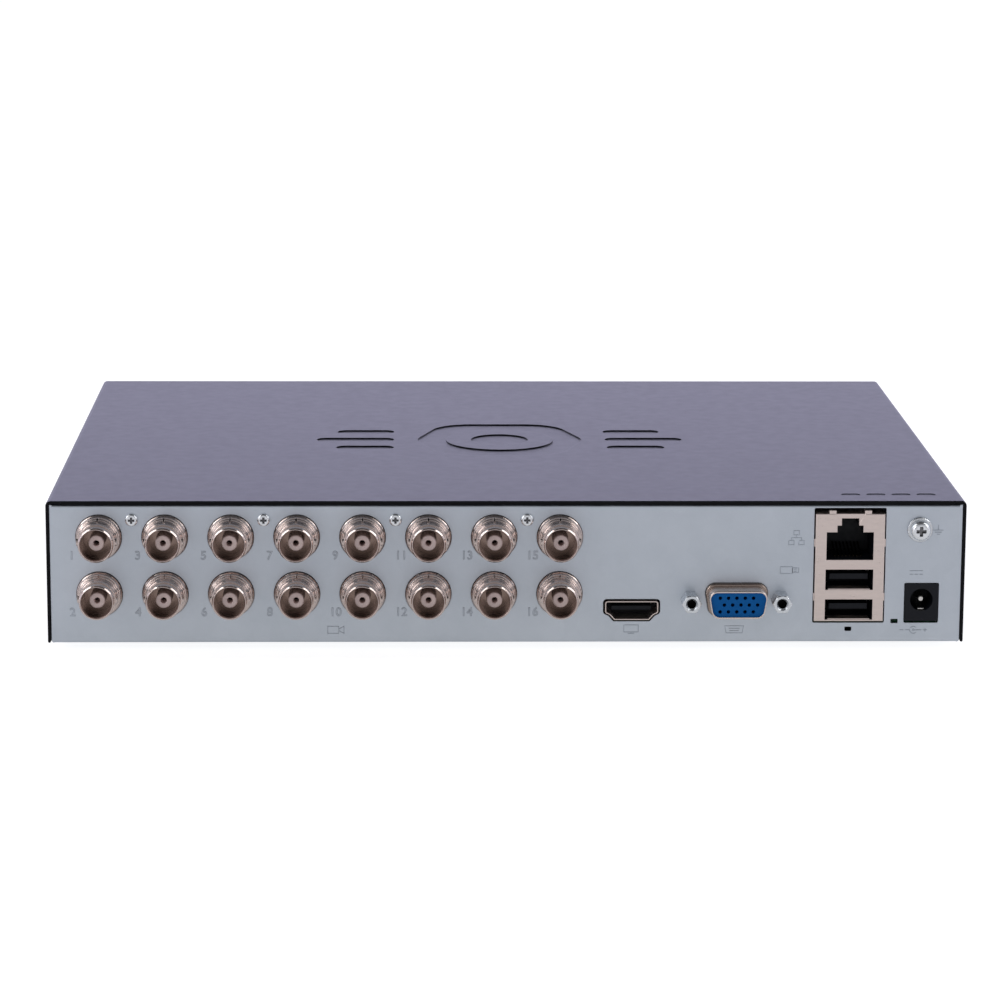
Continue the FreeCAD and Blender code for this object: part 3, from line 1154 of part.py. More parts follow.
def nodes():
    """Every node's name and shape."""
    yield "base_chassis", base_chassis()
    yield "top_cover", top_cover()
    yield "front_bezel", front_bezel()
    yield "status_light_guide", status_light_guide()
    yield "rubber_feet", rubber_feet()
    yield "cover_screws", cover_screws()
    yield "cover_nuts", cover_nuts()
    yield "chassis_screws", chassis_screws()
    yield "jack_block_screws", block_screws()
    yield "earth_washer", earth_washer()
    yield "earth_screw", earth_screw()
    yield "jack_blocks", group([jack_block(x) for x in block_centres()])
    shell, insulator, contact = jack_shell(), jack_insulator(), jack_contact()
    places = [(x, PANEL_Y, z) for x, z in jack_places()]
    for number, place in enumerate(places, 1):
        yield f"coax_jack_shell_{number:02d}", placed(shell, place, REARWARD)
    yield "coax_jack_insulators", group([placed(insulator, p, REARWARD) for p in places])
    yield "coax_jack_contacts", group([placed(contact, p, REARWARD) for p in places])
    yield "hdmi_socket_shell", hdmi_shell()
    yield "hdmi_socket_tongue", hdmi_tongue()
    yield "vga_socket_shell", vga_shell()
    yield "vga_socket_insert", vga_insert()
    yield "vga_jack_posts", vga_jack_posts()
    yield "port_stack_shell", port_stack_shell()
    yield "port_stack_insert", port_stack_insert()
    yield "port_stack_contacts", port_stack_contacts()
    yield "power_jack_body", power_jack_body()
    yield "power_jack_contacts", power_jack_contacts()
    yield "main_board", main_board()
    yield "board_chips", board_chips()
    yield "heat_sink", heat_sink()
    yield "board_capacitors", board_capacitors()
    yield "board_coils", board_coils()
    yield "board_headers", board_headers()
    yield "coin_cell_holder", cell_holder()
    yield "coin_cell", coin_cell()
    yield "buzzer", buzzer()
    yield "lights_board", lights_board()
    yield "drive_base", drive_base()
    yield "drive_lid", drive_lid()
    yield "drive_lid_screws", drive_lid_screws()
    yield "drive_platters", drive_platters()
    yield "drive_arm", drive_arm()
    yield "drive_magnets", drive_magnets()
    yield "drive_board", drive_board()
    yield "drive_data_lead", drive_data_lead()
    yield "drive_power_lead", drive_power_lead()
    yield "status_lights_lead", status_lights_lead()


def main():
    os.makedirs("parts", exist_ok=True)
    for name, shape in nodes():
        if not shape.isValid() or shape.Volume <= 0:
            raise ValueError(f"{name} isn't a valid solid")
        shape.exportStep(f"parts/{name}.step")
        print(f"{name}: {len(shape.Solids)} solids, {shape.Volume:.0f} mm3")


main()
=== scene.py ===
"""Looks for the video recorder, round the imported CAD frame: materials, surface details, studio and camera.

Metres throughout. The rear panel with the sockets faces +Y, the bezel faces -Y.
"""
import json
import math

import bmesh
import bpy
from mathutils import Matrix, Vector


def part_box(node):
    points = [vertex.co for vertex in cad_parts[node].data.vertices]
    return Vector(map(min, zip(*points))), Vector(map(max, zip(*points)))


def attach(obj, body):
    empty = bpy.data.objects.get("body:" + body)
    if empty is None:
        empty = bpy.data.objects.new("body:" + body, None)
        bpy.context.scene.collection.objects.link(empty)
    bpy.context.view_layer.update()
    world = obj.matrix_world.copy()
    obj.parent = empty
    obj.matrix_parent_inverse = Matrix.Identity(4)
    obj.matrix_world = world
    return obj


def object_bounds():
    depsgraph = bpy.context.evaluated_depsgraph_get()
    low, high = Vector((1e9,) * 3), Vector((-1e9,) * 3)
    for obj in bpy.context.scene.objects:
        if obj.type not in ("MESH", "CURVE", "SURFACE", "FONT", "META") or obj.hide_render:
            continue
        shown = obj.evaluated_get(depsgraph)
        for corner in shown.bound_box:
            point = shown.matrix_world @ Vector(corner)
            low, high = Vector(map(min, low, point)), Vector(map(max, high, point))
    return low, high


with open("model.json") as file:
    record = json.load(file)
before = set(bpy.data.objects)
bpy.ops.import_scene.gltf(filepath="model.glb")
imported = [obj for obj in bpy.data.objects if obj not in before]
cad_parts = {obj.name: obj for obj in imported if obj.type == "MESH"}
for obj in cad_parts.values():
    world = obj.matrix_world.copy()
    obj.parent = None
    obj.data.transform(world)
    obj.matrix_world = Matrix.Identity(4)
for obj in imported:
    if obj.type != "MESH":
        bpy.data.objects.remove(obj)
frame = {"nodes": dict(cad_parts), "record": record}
CAD_BOX = [list(corner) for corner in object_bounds()]
NODES = frame["nodes"]
MM = 0.001


def middle(node):
    """The middle of a node's box."""
    low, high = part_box(node)
    return (low + high) / 2


# ---------------------------------------------------------------- places on the CAD frame

PANEL_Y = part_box("earth_washer")[0].y
FRONT_Y = CAD_BOX[0][1]
BOARD_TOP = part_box("main_board")[1].z

WINDOW_REACH = 0.1176  # half the width of the bezel's window band
WINDOW_LOW = 0.0191
WINDOW_HIGH = 0.0309
WINDOW_DEPTH = 0.0006
WINDOW_MARGIN = 0.0003

JACK_FIRST = (middle("coax_jack_shell_01").x, middle("coax_jack_shell_01").z)
JACK_PITCH = JACK_FIRST[0] - middle("coax_jack_shell_03").x
JACK_ROW_GAP = JACK_FIRST[1] - middle("coax_jack_shell_02").z
JACK_COUNT = 16
JACK_BORE = 0.00445
JACK_BORE_FLOOR = 0.0015  # heights over the panel
JACK_BORE_MOUTH = 0.0112

POST_REACH = 0.002743  # from a post's axis to its outermost corner
POST_BORE = 0.0013  # a little over the bore's own radius
POST_FACE = 0.0058  # heights over the panel
BEAD_FOOT = 0.0010
BEAD_TOP = 0.0022
BLOCK_SCREW_RECESS = 0.0009  # radii round the cross recesses
EARTH_SCREW_RECESS = 0.0014
RECESS_DEPTH = 0.0001  # what lies deeper than this under a screw's face is in its recess
STACK_SPLIT_Z = 0.0225  # between the network socket and the two serial-bus sockets

WIRE_BEND = 0.014  # radius of the power lead's bend, midway between its wires
WIRE_FRONT = 0.0105  # from the lead's front to that middle
WIRE_BEND_X = 0.089
WIRE_BEND_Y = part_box("drive_power_lead")[0].y + WIRE_FRONT + WIRE_BEND
WIRE_PAIR_EDGE = 0.0022  # from that middle to the outer wires
WIRE_PLUG = 0.013  # how far the lead's two plugs reach along it
WIRE_HEADER = 0.0128

# ---------------------------------------------------------------- colours

BLACK = (0.0028, 0.003, 0.0045)
BLACK_WORN = (0.02, 0.02, 0.023)
ZINC_DARK = (0.485, 0.53, 0.585)
ZINC_PALE = (0.63, 0.672, 0.73)
NICKEL_DARK = (0.55, 0.46, 0.425)
NICKEL_PALE = (0.64, 0.54, 0.505)
# painted highlight on the jack shells' rims
NICKEL_RIM_HIGHLIGHT = (0.76, 0.68, 0.64)
# painted shade deep in the jacks' bores
NICKEL_BORE_SHADE = (0.25, 0.18, 0.15)
POST_ZINC = (0.70, 0.73, 0.76)
# painted shade in the posts' threaded bores
POST_BORE_SHADE = (0.012, 0.012, 0.014)
SCREW_ZINC = (0.78, 0.80, 0.82)
# painted shade in the block screws' cross recesses
SCREW_RECESS_SHADE = (0.10, 0.10, 0.105)
EARTH_ZINC = (0.80, 0.82, 0.84)
# painted shade in the earth screw's cross recess
EARTH_RECESS_SHADE = (0.16, 0.16, 0.165)
TIN = (0.74, 0.64, 0.59)
# painted shade where the socket shell's bead meets the panel
TIN_BEAD_SHADE = (0.30, 0.235, 0.20)
GILT = (0.85, 0.62, 0.28)
# painted shade on the network socket's wires
GILT_SHADE = (0.06, 0.045, 0.03)
WIRE_BLACK = (0.02, 0.02, 0.021)
WIRE_YELLOW = (0.62, 0.42, 0.02)
WIRE_RED = (0.42, 0.012, 0.01)
SLEEVE = (0.014, 0.02, 0.06)
SLEEVE_TOP = (0.62, 0.62, 0.62)
SOLDERED_HOLE = (0.62, 0.60, 0.55)

# Noise features per metre along each axis, for a metal's grain.
FINE_GRAIN = (900.0, 900.0, 2400.0)
UPRIGHT_GRAIN = (300.0, 300.0, 1200.0)

# ---------------------------------------------------------------- material kit


class Shader:
    """A Principled material with its node tree, built up one effect at a time."""

    def __init__(self, name, color, rough, metallic=0.0, ior=1.5):
        self.material = bpy.data.materials.new(name)
        self.material.use_nodes = True
        self.tree = self.material.node_tree
        self.shader = self.tree.nodes["Principled BSDF"]
        self.set("Base Color", (*color, 1.0))
        self.set("Roughness", rough)
        self.set("Metallic", metallic)
        self.set("IOR", ior)
        self.normal = None
        self.place = self.node("ShaderNodeTexCoord").outputs["Object"]

    def node(self, kind, **values):
        made = self.tree.nodes.new(kind)
        for key, value in values.items():
            setattr(made, key, value)
        return made

    def set(self, socket, value):
        self.shader.inputs[socket].default_value = value

    def link(self, source, target):
        self.tree.links.new(source, target)

    def mapped(self, scale):
        """Object coordinates times scale, a number or one number per axis."""
        mapping = self.node("ShaderNodeMapping")
        mapping.inputs["Scale"].default_value = scale if isinstance(scale, tuple) else (scale,) * 3
        self.link(self.place, mapping.inputs["Vector"])
        return mapping.outputs["Vector"]

    def noise(self, scale, detail=2.0, roughness=0.5):
        """Noise with scale features per metre."""
        made = self.node("ShaderNodeTexNoise")
        made.inputs["Scale"].default_value = 1.0
        made.inputs["Detail"].default_value = detail
        made.inputs["Roughness"].default_value = roughness
        self.link(self.mapped(scale), made.inputs["Vector"])
        return made.outputs["Fac"]

    def cells(self, scale, output="Distance", feature="F1", metric="EUCLIDEAN"):
        """Voronoi cells, scale of them per metre."""
        made = self.node("ShaderNodeTexVoronoi", feature=feature, distance=metric)
        made.inputs["Scale"].default_value = 1.0
        self.link(self.mapped(scale), made.inputs["Vector"])
        return made.outputs[output]

    def math(self, operation, first, second=None, third=None, clamp=False):
        made = self.node("ShaderNodeMath", operation=operation, use_clamp=clamp)
        for socket, value in zip(made.inputs, (first, second, third)):
            if value is None:
                continue
            if isinstance(value, (int, float)):
                socket.default_value = value
            else:
                self.link(value, socket)
        return made.outputs[0]

    def blend(self, first, share, second, rest):
        """share of first and rest of second, added."""
        first_part = self.math("MULTIPLY", first, share)
        second_part = self.math("MULTIPLY", second, rest)
        return self.math("ADD", first_part, second_part)

    def every(self, *masks):
        """1 where every mask is 1."""
        made = masks[0]
        for mask in masks[1:]:
            made = self.math("MULTIPLY", made, mask)
        return made

    def between(self, source, low, high, start=0.0, end=1.0):
        """source from start to end, as low to high."""
        made = self.node("ShaderNodeMapRange")
        for name, value in (("From Min", start), ("From Max", end), ("To Min", low), ("To Max", high)):
            made.inputs[name].default_value = value
        self.link(source, made.inputs["Value"])
        return made.outputs["Result"]

    def mix(self, factor, first, second):
        """Colour first where factor is 0 and second where it is 1."""
        made = self.node("ShaderNodeMix", data_type="RGBA")
        self.link(factor, made.inputs[0])
        for socket, value in ((made.inputs[6], first), (made.inputs[7], second)):
            if isinstance(value, tuple):
                socket.default_value = (*value, 1.0)
            else:
                self.link(value, socket)
        return made.outputs[2]

    def axes(self):
        """Object coordinates, one output per axis."""
        split = self.node("ShaderNodeSeparateXYZ")
        self.link(self.place, split.inputs["Vector"])
        return split.outputs["X"], split.outputs["Y"], split.outputs["Z"]

    def length(self, first, second):
        """The square root of first and second squared and added."""
        first_square = self.math("MULTIPLY", first, first)
        second_square = self.math("MULTIPLY", second, second)
        return self.math("SQRT", self.math("ADD", first_square, second_square))

    def paint(self, source):
        self.link(source, self.shader.inputs["Base Color"])

    def gloss(self, source):
        self.link(source, self.shader.inputs["Roughness"])

    def ease(self, radius):
        """Rounds sharp edges in the shading by radius."""
        made = self.node("ShaderNodeBevel", samples=4)
        made.inputs["Radius"].default_value = radius
        self.normal = made.outputs["Normal"]
        self.link(self.normal, self.shader.inputs["Normal"])
        return self

    def edge_mask(self, radius, sharpness):
        """1 on edges of that radius and 0 on flats."""
        made = self.node("ShaderNodeBevel", samples=4)
        made.inputs["Radius"].default_value = radius
        geometry = self.node("ShaderNodeNewGeometry")
        dot = self.node("ShaderNodeVectorMath", operation="DOT_PRODUCT")
        self.link(made.outputs["Normal"], dot.inputs[0])
        self.link(geometry.outputs["Normal"], dot.inputs[1])
        away = self.math("SUBTRACT", 1.0, dot.outputs["Value"])
        return self.math("MULTIPLY", away, sharpness, clamp=True)

    def bump(self, height, depth):
        """Relief of that depth where height goes from 0 to 1, on top of what is there."""
        made = self.node("ShaderNodeBump")
        made.inputs["Strength"].default_value = 1.0
        made.inputs["Distance"].default_value = depth
        self.link(height, made.inputs["Height"])
        if self.normal is not None:
            self.link(self.normal, made.inputs["Normal"])
        self.normal = made.outputs["Normal"]
        self.link(self.normal, self.shader.inputs["Normal"])
        return self


def tone(color, factor):
    """A lighter or darker colour."""
    return tuple(min(1.0, c * factor) for c in color)


def plain(name, color, rough, metallic=0.0, scale=400.0, vary=0.12, gloss_vary=0.25, grain=2500.0,
          depth=0.00001, ease=0.0001, ior=1.5):
    """The base of most finishes: mottled colour and gloss, fine grain and eased edges."""
    made = Shader(name, color, rough, metallic, ior)
    if ease:
        made.ease(ease)
    mottle = made.noise(scale, 3.0)
    made.paint(made.mix(mottle, tone(color, 1 - vary), tone(color, 1 + vary)))
    sheen = made.noise(scale * 2.3, 3.0)
    made.gloss(made.between(sheen, rough * (1 - gloss_vary), rough * (1 + gloss_vary), 0.25, 0.75))
    if depth:
        made.bump(made.noise(grain, 2.0), depth)
    return made


# ---------------------------------------------------------------- finishes, by the record's slots


def galvanized():
    """Passivated zinc sheet: faint spangle and a fine directionless grain."""
    made = Shader("galvanized_sheet", (0.6, 0.64, 0.7), 0.42, 1.0).ease(0.0002)
    spangle = made.cells(260.0, "Color")
    gray = made.node("ShaderNodeRGBToBW")
    made.link(spangle, gray.inputs["Color"])
    clouds = made.noise(70.0, 4.0, 0.6)
    both = made.blend(gray.outputs["Val"], 0.14, clouds, 0.86)
    made.paint(made.mix(both, ZINC_DARK, ZINC_PALE))
    fine = made.noise(1800.0, 3.0)
    made.gloss(made.between(made.blend(both, 0.6, fine, 0.4), 0.34, 0.52, 0.2, 0.8))
    made.bump(fine, 0.000012)
    made.bump(made.noise(45.0, 2.0), 0.00006)
    return made


def powder_coat():
    """Fine black powder coat, worn a little paler on its edges."""
    made = Shader("black_powder_coat", BLACK, 0.36, ior=1.2).ease(0.00025)
    mottle = made.noise(160.0, 4.0, 0.6)
    base = made.mix(mottle, tone(BLACK, 0.8), tone(BLACK, 1.3))
    patches = made.between(made.noise(900.0, 4.0), 0.0, 1.0, 0.45, 0.75)
    scuffs = made.every(made.edge_mask(0.0004, 3.0), patches)
    made.paint(made.mix(scuffs, base, BLACK_WORN))
    made.gloss(made.between(made.noise(300.0, 4.0), 0.355, 0.38, 0.3, 0.7))
    made.bump(made.noise(3000.0, 2.0), 0.000012)
    return made


def bezel_plastic():
    """Satin moulded black plastic, polished in the window band."""
    made = Shader("bezel_plastic", BLACK, 0.4).ease(0.0003)
    x, y, z = made.axes()
    above = made.math("GREATER_THAN", z, WINDOW_LOW)
    below = made.math("LESS_THAN", z, WINDOW_HIGH)
    across = made.math("LESS_THAN", made.math("ABSOLUTE", x), WINDOW_REACH)
    face = made.math("LESS_THAN", y, FRONT_Y + WINDOW_DEPTH + WINDOW_MARGIN)
    band = made.every(above, below, across, face)
    grain = made.noise(2600.0, 2.0)
    satin = made.between(grain, 0.36, 0.5, 0.3, 0.7)
    made.gloss(made.math("SUBTRACT", satin, made.math("MULTIPLY", band, 0.3), clamp=True))
    made.paint(made.mix(made.noise(90.0, 3.0), tone(BLACK, 0.8), tone(BLACK, 1.25)))
    made.bump(made.math("MULTIPLY", grain, made.math("SUBTRACT", 1.0, band)), 0.00003)
    return made


def jack_nickel():
    """Warm polished nickel with turning marks, a painted highlight on its rims and painted shade deep in its
    bores.
    """
    made = Shader("warm_nickel", (0.55, 0.47, 0.44), 0.18, 1.0).ease(0.0001)
    rings = made.noise((150.0, 4200.0, 150.0), 2.0)
    mottle = made.noise(300.0, 3.0, 0.5)
    color = made.mix(mottle, NICKEL_DARK, NICKEL_PALE)
    rims = made.edge_mask(0.00016, 2.5)
    # painted highlight along the rims
    color = made.mix(rims, color, NICKEL_RIM_HIGHLIGHT)
    x, y, z = made.axes()
    column = made.math("WRAP", made.math("SUBTRACT", x, JACK_FIRST[0]), JACK_PITCH / 2, -JACK_PITCH / 2)
    middle_z = JACK_FIRST[1] - JACK_ROW_GAP / 2
    from_middle = made.math("ABSOLUTE", made.math("SUBTRACT", z, middle_z))
    row = made.math("SUBTRACT", from_middle, JACK_ROW_GAP / 2)
    # painted shade in each bore, darkest towards its floor
    bore = made.math("LESS_THAN", made.length(column, row), JACK_BORE)
    depth = made.between(y, 1.0, 0.15, PANEL_Y + JACK_BORE_FLOOR, PANEL_Y + JACK_BORE_MOUTH)
    made.paint(made.mix(made.math("MULTIPLY", bore, depth, clamp=True), color, NICKEL_BORE_SHADE))
    polish = made.between(mottle, 0.14, 0.20, 0.3, 0.7)
    made.gloss(made.math("MULTIPLY_ADD", rims, 0.16, polish))
    made.bump(rings, 0.000001)
    return made


def post_zinc():
    """Bright zinc, with painted shade in the threaded bores of the two posts."""
    made = brushed("post_zinc", POST_ZINC, 0.25, FINE_GRAIN)
    x, y, z = made.axes()
    centre = middle("vga_jack_posts")
    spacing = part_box("vga_jack_posts")[1].x - centre.x - POST_REACH
    from_middle = made.math("ABSOLUTE", made.math("SUBTRACT", x, centre.x))
    side = made.math("SUBTRACT", from_middle, spacing)
    off_axis = made.length(side, made.math("SUBTRACT", z, centre.z))
    bore = made.math("LESS_THAN", off_axis, POST_BORE)
    inside = made.math("LESS_THAN", y, PANEL_Y + POST_FACE)
    return darkened(made, POST_ZINC, made.every(bore, inside), POST_BORE_SHADE)


def darkened(made, base, mask, painted_shade):
    """made's own grain over base, and painted shade where mask is 1."""
    grain = made.noise(FINE_GRAIN, 3.0)
    made.paint(made.mix(mask, made.mix(grain, tone(base, 0.88), tone(base, 1.1)), painted_shade))
    return made


def block_screw_zinc():
    """Bright zinc with painted shade in the cross recesses of the four screws over the jacks."""
    made = brushed("block_screw_zinc", SCREW_ZINC, 0.25, FINE_GRAIN)
    x, y, z = made.axes()
    low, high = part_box("jack_block_screws")
    last = high.x - (high.z - low.z) / 2
    column = made.math("WRAP", made.math("SUBTRACT", x, last), JACK_PITCH, -JACK_PITCH)
    off_axis = made.length(column, made.math("SUBTRACT", z, (low.z + high.z) / 2))
    across = made.math("LESS_THAN", off_axis, BLOCK_SCREW_RECESS)
    sunk = made.math("LESS_THAN", y, high.y - RECESS_DEPTH)
    return darkened(made, SCREW_ZINC, made.every(across, sunk), SCREW_RECESS_SHADE)


def earth_screw_zinc():
    """Bright zinc with painted shade in the cross recess of the earth screw."""
    made = brushed("earth_screw_zinc", EARTH_ZINC, 0.25, FINE_GRAIN)
    x, y, z = made.axes()
    centre, high = middle("earth_screw"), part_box("earth_screw")[1]
    off_axis = made.length(made.math("SUBTRACT", x, centre.x), made.math("SUBTRACT", z, centre.z))
    across = made.math("LESS_THAN", off_axis, EARTH_SCREW_RECESS)
    sunk = made.math("LESS_THAN", y, high.y - RECESS_DEPTH)
    return darkened(made, EARTH_ZINC, made.every(across, sunk), EARTH_RECESS_SHADE)


def vga_tin():
    """Tin plating, with painted brown shade where the shell's bead meets the panel."""
    made = brushed("vga_tin", TIN, 0.28, UPRIGHT_GRAIN)
    y = made.axes()[1]
    bead = made.between(y, 1.0, 0.0, PANEL_Y + BEAD_FOOT, PANEL_Y + BEAD_TOP)
    return darkened(made, TIN, bead, TIN_BEAD_SHADE)


def stack_gilt():
    """Gold flash, with painted shade on the wires deep in the network socket."""
    made = plain("stack_gilt", GILT, 0.22, 1.0)
    deep = made.math("GREATER_THAN", made.axes()[2], STACK_SPLIT_Z)
    made.paint(made.mix(deep, GILT, GILT_SHADE))
    return made


def ribbon_wires():
    """Four wires side by side: yellow, two black and red, between black plugs."""
    made = plain("four_wires", WIRE_BLACK, 0.42, depth=0.00002)
    x, y, z = made.axes()
    along = made.math("MAXIMUM", made.math("SUBTRACT", x, WIRE_BEND_X), 0.0)
    back = made.math("MAXIMUM", made.math("SUBTRACT", WIRE_BEND_Y, y), 0.0)
    shift = made.math("SUBTRACT", made.length(along, back), WIRE_BEND)
    yellow = made.math("LESS_THAN", shift, -WIRE_PAIR_EDGE)
    red = made.math("GREATER_THAN", shift, WIRE_PAIR_EDGE)
    low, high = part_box("drive_power_lead")
    past_plug = made.math("GREATER_THAN", x, low.x + WIRE_PLUG)
    before_header = made.math("LESS_THAN", y, high.y - WIRE_HEADER)
    free = made.every(past_plug, before_header)
    color = made.mix(made.every(yellow, free), WIRE_BLACK, WIRE_YELLOW)
    made.paint(made.mix(made.every(red, free), color, WIRE_RED))
    return made


def capacitor_sleeve():
    """Dark printed sleeve, with the bare aluminium top showing."""
    made = plain("capacitor_sleeve", SLEEVE, 0.3)
    geometry = made.node("ShaderNodeNewGeometry")
    split = made.node("ShaderNodeSeparateXYZ")
    made.link(geometry.outputs["True Normal"], split.inputs["Vector"])
    top = made.math("GREATER_THAN", split.outputs["Z"], 0.9)
    made.paint(made.mix(top, SLEEVE, SLEEVE_TOP))
    made.link(top, made.shader.inputs["Metallic"])
    return made


def board_green(name, mask, track, size):
    """Solder mask over copper tracks, with plated holes."""
    made = Shader(name, mask, 0.3)
    edges = made.cells(size, "Distance", "DISTANCE_TO_EDGE")
    lanes = made.cells((size * 1.8, size * 0.7, 50.0), "Distance", "F1", "MANHATTAN")
    wave = made.math("FRACT", made.math("MULTIPLY", lanes, 6.0))
    tracks = made.math("LESS_THAN", wave, 0.42)
    color = made.mix(tracks, mask, track)
    holes = made.math("LESS_THAN", made.cells(size * 1.6, "Distance"), 0.12)
    color = made.mix(holes, color, SOLDERED_HOLE)
    gaps = made.math("LESS_THAN", edges, 0.05)
    made.paint(made.mix(gaps, color, tone(mask, 0.7)))
    made.gloss(made.between(made.noise(600.0), 0.24, 0.4, 0.3, 0.7))
    made.bump(tracks, 0.00003)
    return made


def brushed(name, color, rough, direction):
    """Metal with a straight grain: direction is the noise's scale along each axis."""
    made = Shader(name, color, rough, 1.0).ease(0.00015)
    grain = made.noise(direction, 3.0, 0.6)
    made.paint(made.mix(grain, tone(color, 0.85), tone(color, 1.12)))
    made.gloss(made.between(grain, rough * 0.8, rough * 1.25, 0.3, 0.7))
    made.bump(grain, 0.00001)
    return made


def clear_guide():
    """Clear moulding that carries the lights to the bezel."""
    made = plain("clear_moulding", (0.75, 0.8, 0.8), 0.12, vary=0.05, depth=0)
    made.set("Transmission Weight", 0.75)
    return made


def cast_metal(name, color):
    """Blasted cast aluminium."""
    return plain(name, color, 0.5, 1.0, 300.0, 0.1, 0.2, grain=900.0, depth=0.00006)


def faint_ink():
    """The thin grey of the panel's numbers and signs: painted shade, darker than the panel, standing in for
    the shade of pressed-in marks.
    """
    return plain("faint_ink", (0.43, 0.47, 0.52), 0.5, 0.85, 900.0, 0.15, ease=0).material


FINISHES = {
    "galvanized_panel": galvanized,
    "black_cover": powder_coat,
    "black_bezel": bezel_plastic,
    "light_guide": clear_guide,
    "foot_rubber": lambda: plain("foot_rubber", (0.018, 0.018, 0.018), 0.75, grain=1500.0, depth=0.00004),
    "black_screw": lambda: plain("blackened_steel", (0.04, 0.04, 0.045), 0.38, 0.6),
    "zinc": lambda: brushed("bright_zinc", (0.66, 0.68, 0.7), 0.27, FINE_GRAIN),
    "jack_nickel": jack_nickel,
    "nickel": lambda: brushed("bright_nickel", (0.66, 0.64, 0.61), 0.2, (2500.0, 700.0, 900.0)),
    "tinned_shell": lambda: brushed("tinned_steel", (0.72, 0.62, 0.575), 0.34, UPRIGHT_GRAIN),
    "black_moulding": lambda: plain(
        "black_moulding", (0.0045, 0.0055, 0.009), 0.42, grain=2200.0, depth=0.00002, ior=1.3),
    "jack_insulator": lambda: plain("pale_moulding", (0.70, 0.56, 0.53), 0.4, 0.0, 700.0, 0.08),
    "blue_moulding": lambda: plain(
        "blue_moulding", (0.001, 0.088, 0.30), 0.4, grain=2200.0, depth=0.00002, ior=1.2),
    "white_moulding": lambda: plain("white_moulding", (0.72, 0.70, 0.64), 0.4),
    "gilt": lambda: plain("gold_flash", GILT, 0.22, 1.0),
    "green_board": lambda: board_green(
        "green_solder_mask", (0.006, 0.075, 0.026), (0.012, 0.13, 0.045), 240.0),
    "blue_board": lambda: board_green(
        "blue_solder_mask", (0.004, 0.03, 0.10), (0.008, 0.05, 0.15), 300.0),
    "chip_black": lambda: plain("chip_epoxy", (0.02, 0.02, 0.021), 0.5, grain=3500.0, depth=0.000025),
    "sink_aluminium": lambda: brushed("black_anodized", (0.10, 0.11, 0.12), 0.36, (400.0, 3000.0, 400.0)),
    "capacitor_sleeve": capacitor_sleeve,
    "coil_grey": lambda: plain("pressed_ferrite", (0.09, 0.09, 0.092), 0.62, grain=2600.0, depth=0.00005),
    "cell_steel": lambda: brushed("cell_steel", (0.68, 0.68, 0.67), 0.26, (2600.0, 300.0, 300.0)),
    "cast_aluminium": lambda: cast_metal("cast_aluminium", (0.42, 0.42, 0.43)),
    "drive_lid_steel": lambda: brushed("satin_steel", (0.62, 0.63, 0.64), 0.3, (120.0, 3000.0, 120.0)),
    "platter_mirror": lambda: plain("platter_film", (0.80, 0.80, 0.82), 0.04, 1.0, depth=0, ease=0),
    "arm_aluminium": lambda: cast_metal("arm_aluminium", (0.72, 0.72, 0.72)),
    "magnet_nickel": lambda: brushed("magnet_nickel", (0.62, 0.61, 0.59), 0.22, (900.0, 900.0, 900.0)),
    "red_lead": lambda: plain("red_lead", (0.36, 0.012, 0.012), 0.4, depth=0.00002),
    "lead_wire": lambda: plain("black_wire", WIRE_BLACK, 0.42, depth=0.00002),
}

# Nodes that look different from the rest of their slot.
NODE_FINISHES = {
    "coax_jack_contacts": lambda: plain("shaded_gilt", (0.045, 0.032, 0.022), 0.4, 1.0),
    "vga_jack_posts": post_zinc,
    "vga_socket_shell": vga_tin,
    "jack_block_screws": block_screw_zinc,
    "earth_screw": earth_screw_zinc,
    "port_stack_contacts": stack_gilt,
    "drive_power_lead": ribbon_wires,
}


def dress_nodes():
    """Gives every CAD node its own finish, or else its slot's."""
    made = {}
    finishes = {**FINISHES, **NODE_FINISHES}
    slots = {entry["node"]: entry["material_slot"] for entry in frame["record"]["subparts"]}
    for name, node in NODES.items():
        key = name if name in NODE_FINISHES else slots[name]
        if key not in made:
            made[key] = finishes[key]().material
        node.data.materials.clear()
        node.data.materials.append(made[key])


# ---------------------------------------------------------------- pieces


def piece(name, mesh_builder, material, body="case"):
    """A mesh object made by mesh_builder(bm), riding on a body."""
    mesh = bpy.data.meshes.new(name)
    bm = bmesh.new()
    mesh_builder(bm)
    bm.to_mesh(mesh)
    bm.free()
    mesh.materials.append(material)
    made = bpy.data.objects.new(name, mesh)
    bpy.context.scene.collection.objects.link(made)
    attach(made, body)


# These turn the XY plane to face +Y or -Y, reading left to right from outside the case.
FACING_REAR = Matrix(((-1, 0, 0, 0), (0, 0, 1, 0), (0, 1, 0, 0), (0, 0, 0, 1)))
FACING_FRONT = Matrix(((1, 0, 0, 0), (0, 0, -1, 0), (0, 1, 0, 0), (0, 0, 0, 1)))
NUMBER_SIZE = 0.0034
NUMBER_SHIFT = (0.0075, -0.0052)  # from a jack's axis to its number
NUMBER_STROKE = 0.00007
SIGN_STROKE = 0.0001


def add_block(bm, centre, size, turn=0.0, chamfer=0.0):
    """A box turned about the vertical, with its edges chamfered."""
    matrix = Matrix.Translation(centre) @ Matrix.Rotation(turn, 4, "Z") @ Matrix.Diagonal((*size, 1.0))
    made = bmesh.ops.create_cube(bm, size=1.0, matrix=matrix)
    if chamfer:
        edges = list({e for v in made["verts"] for e in v.link_edges})
        bmesh.ops.bevel(bm, geom=edges, offset=chamfer, segments=1, affect="EDGES")


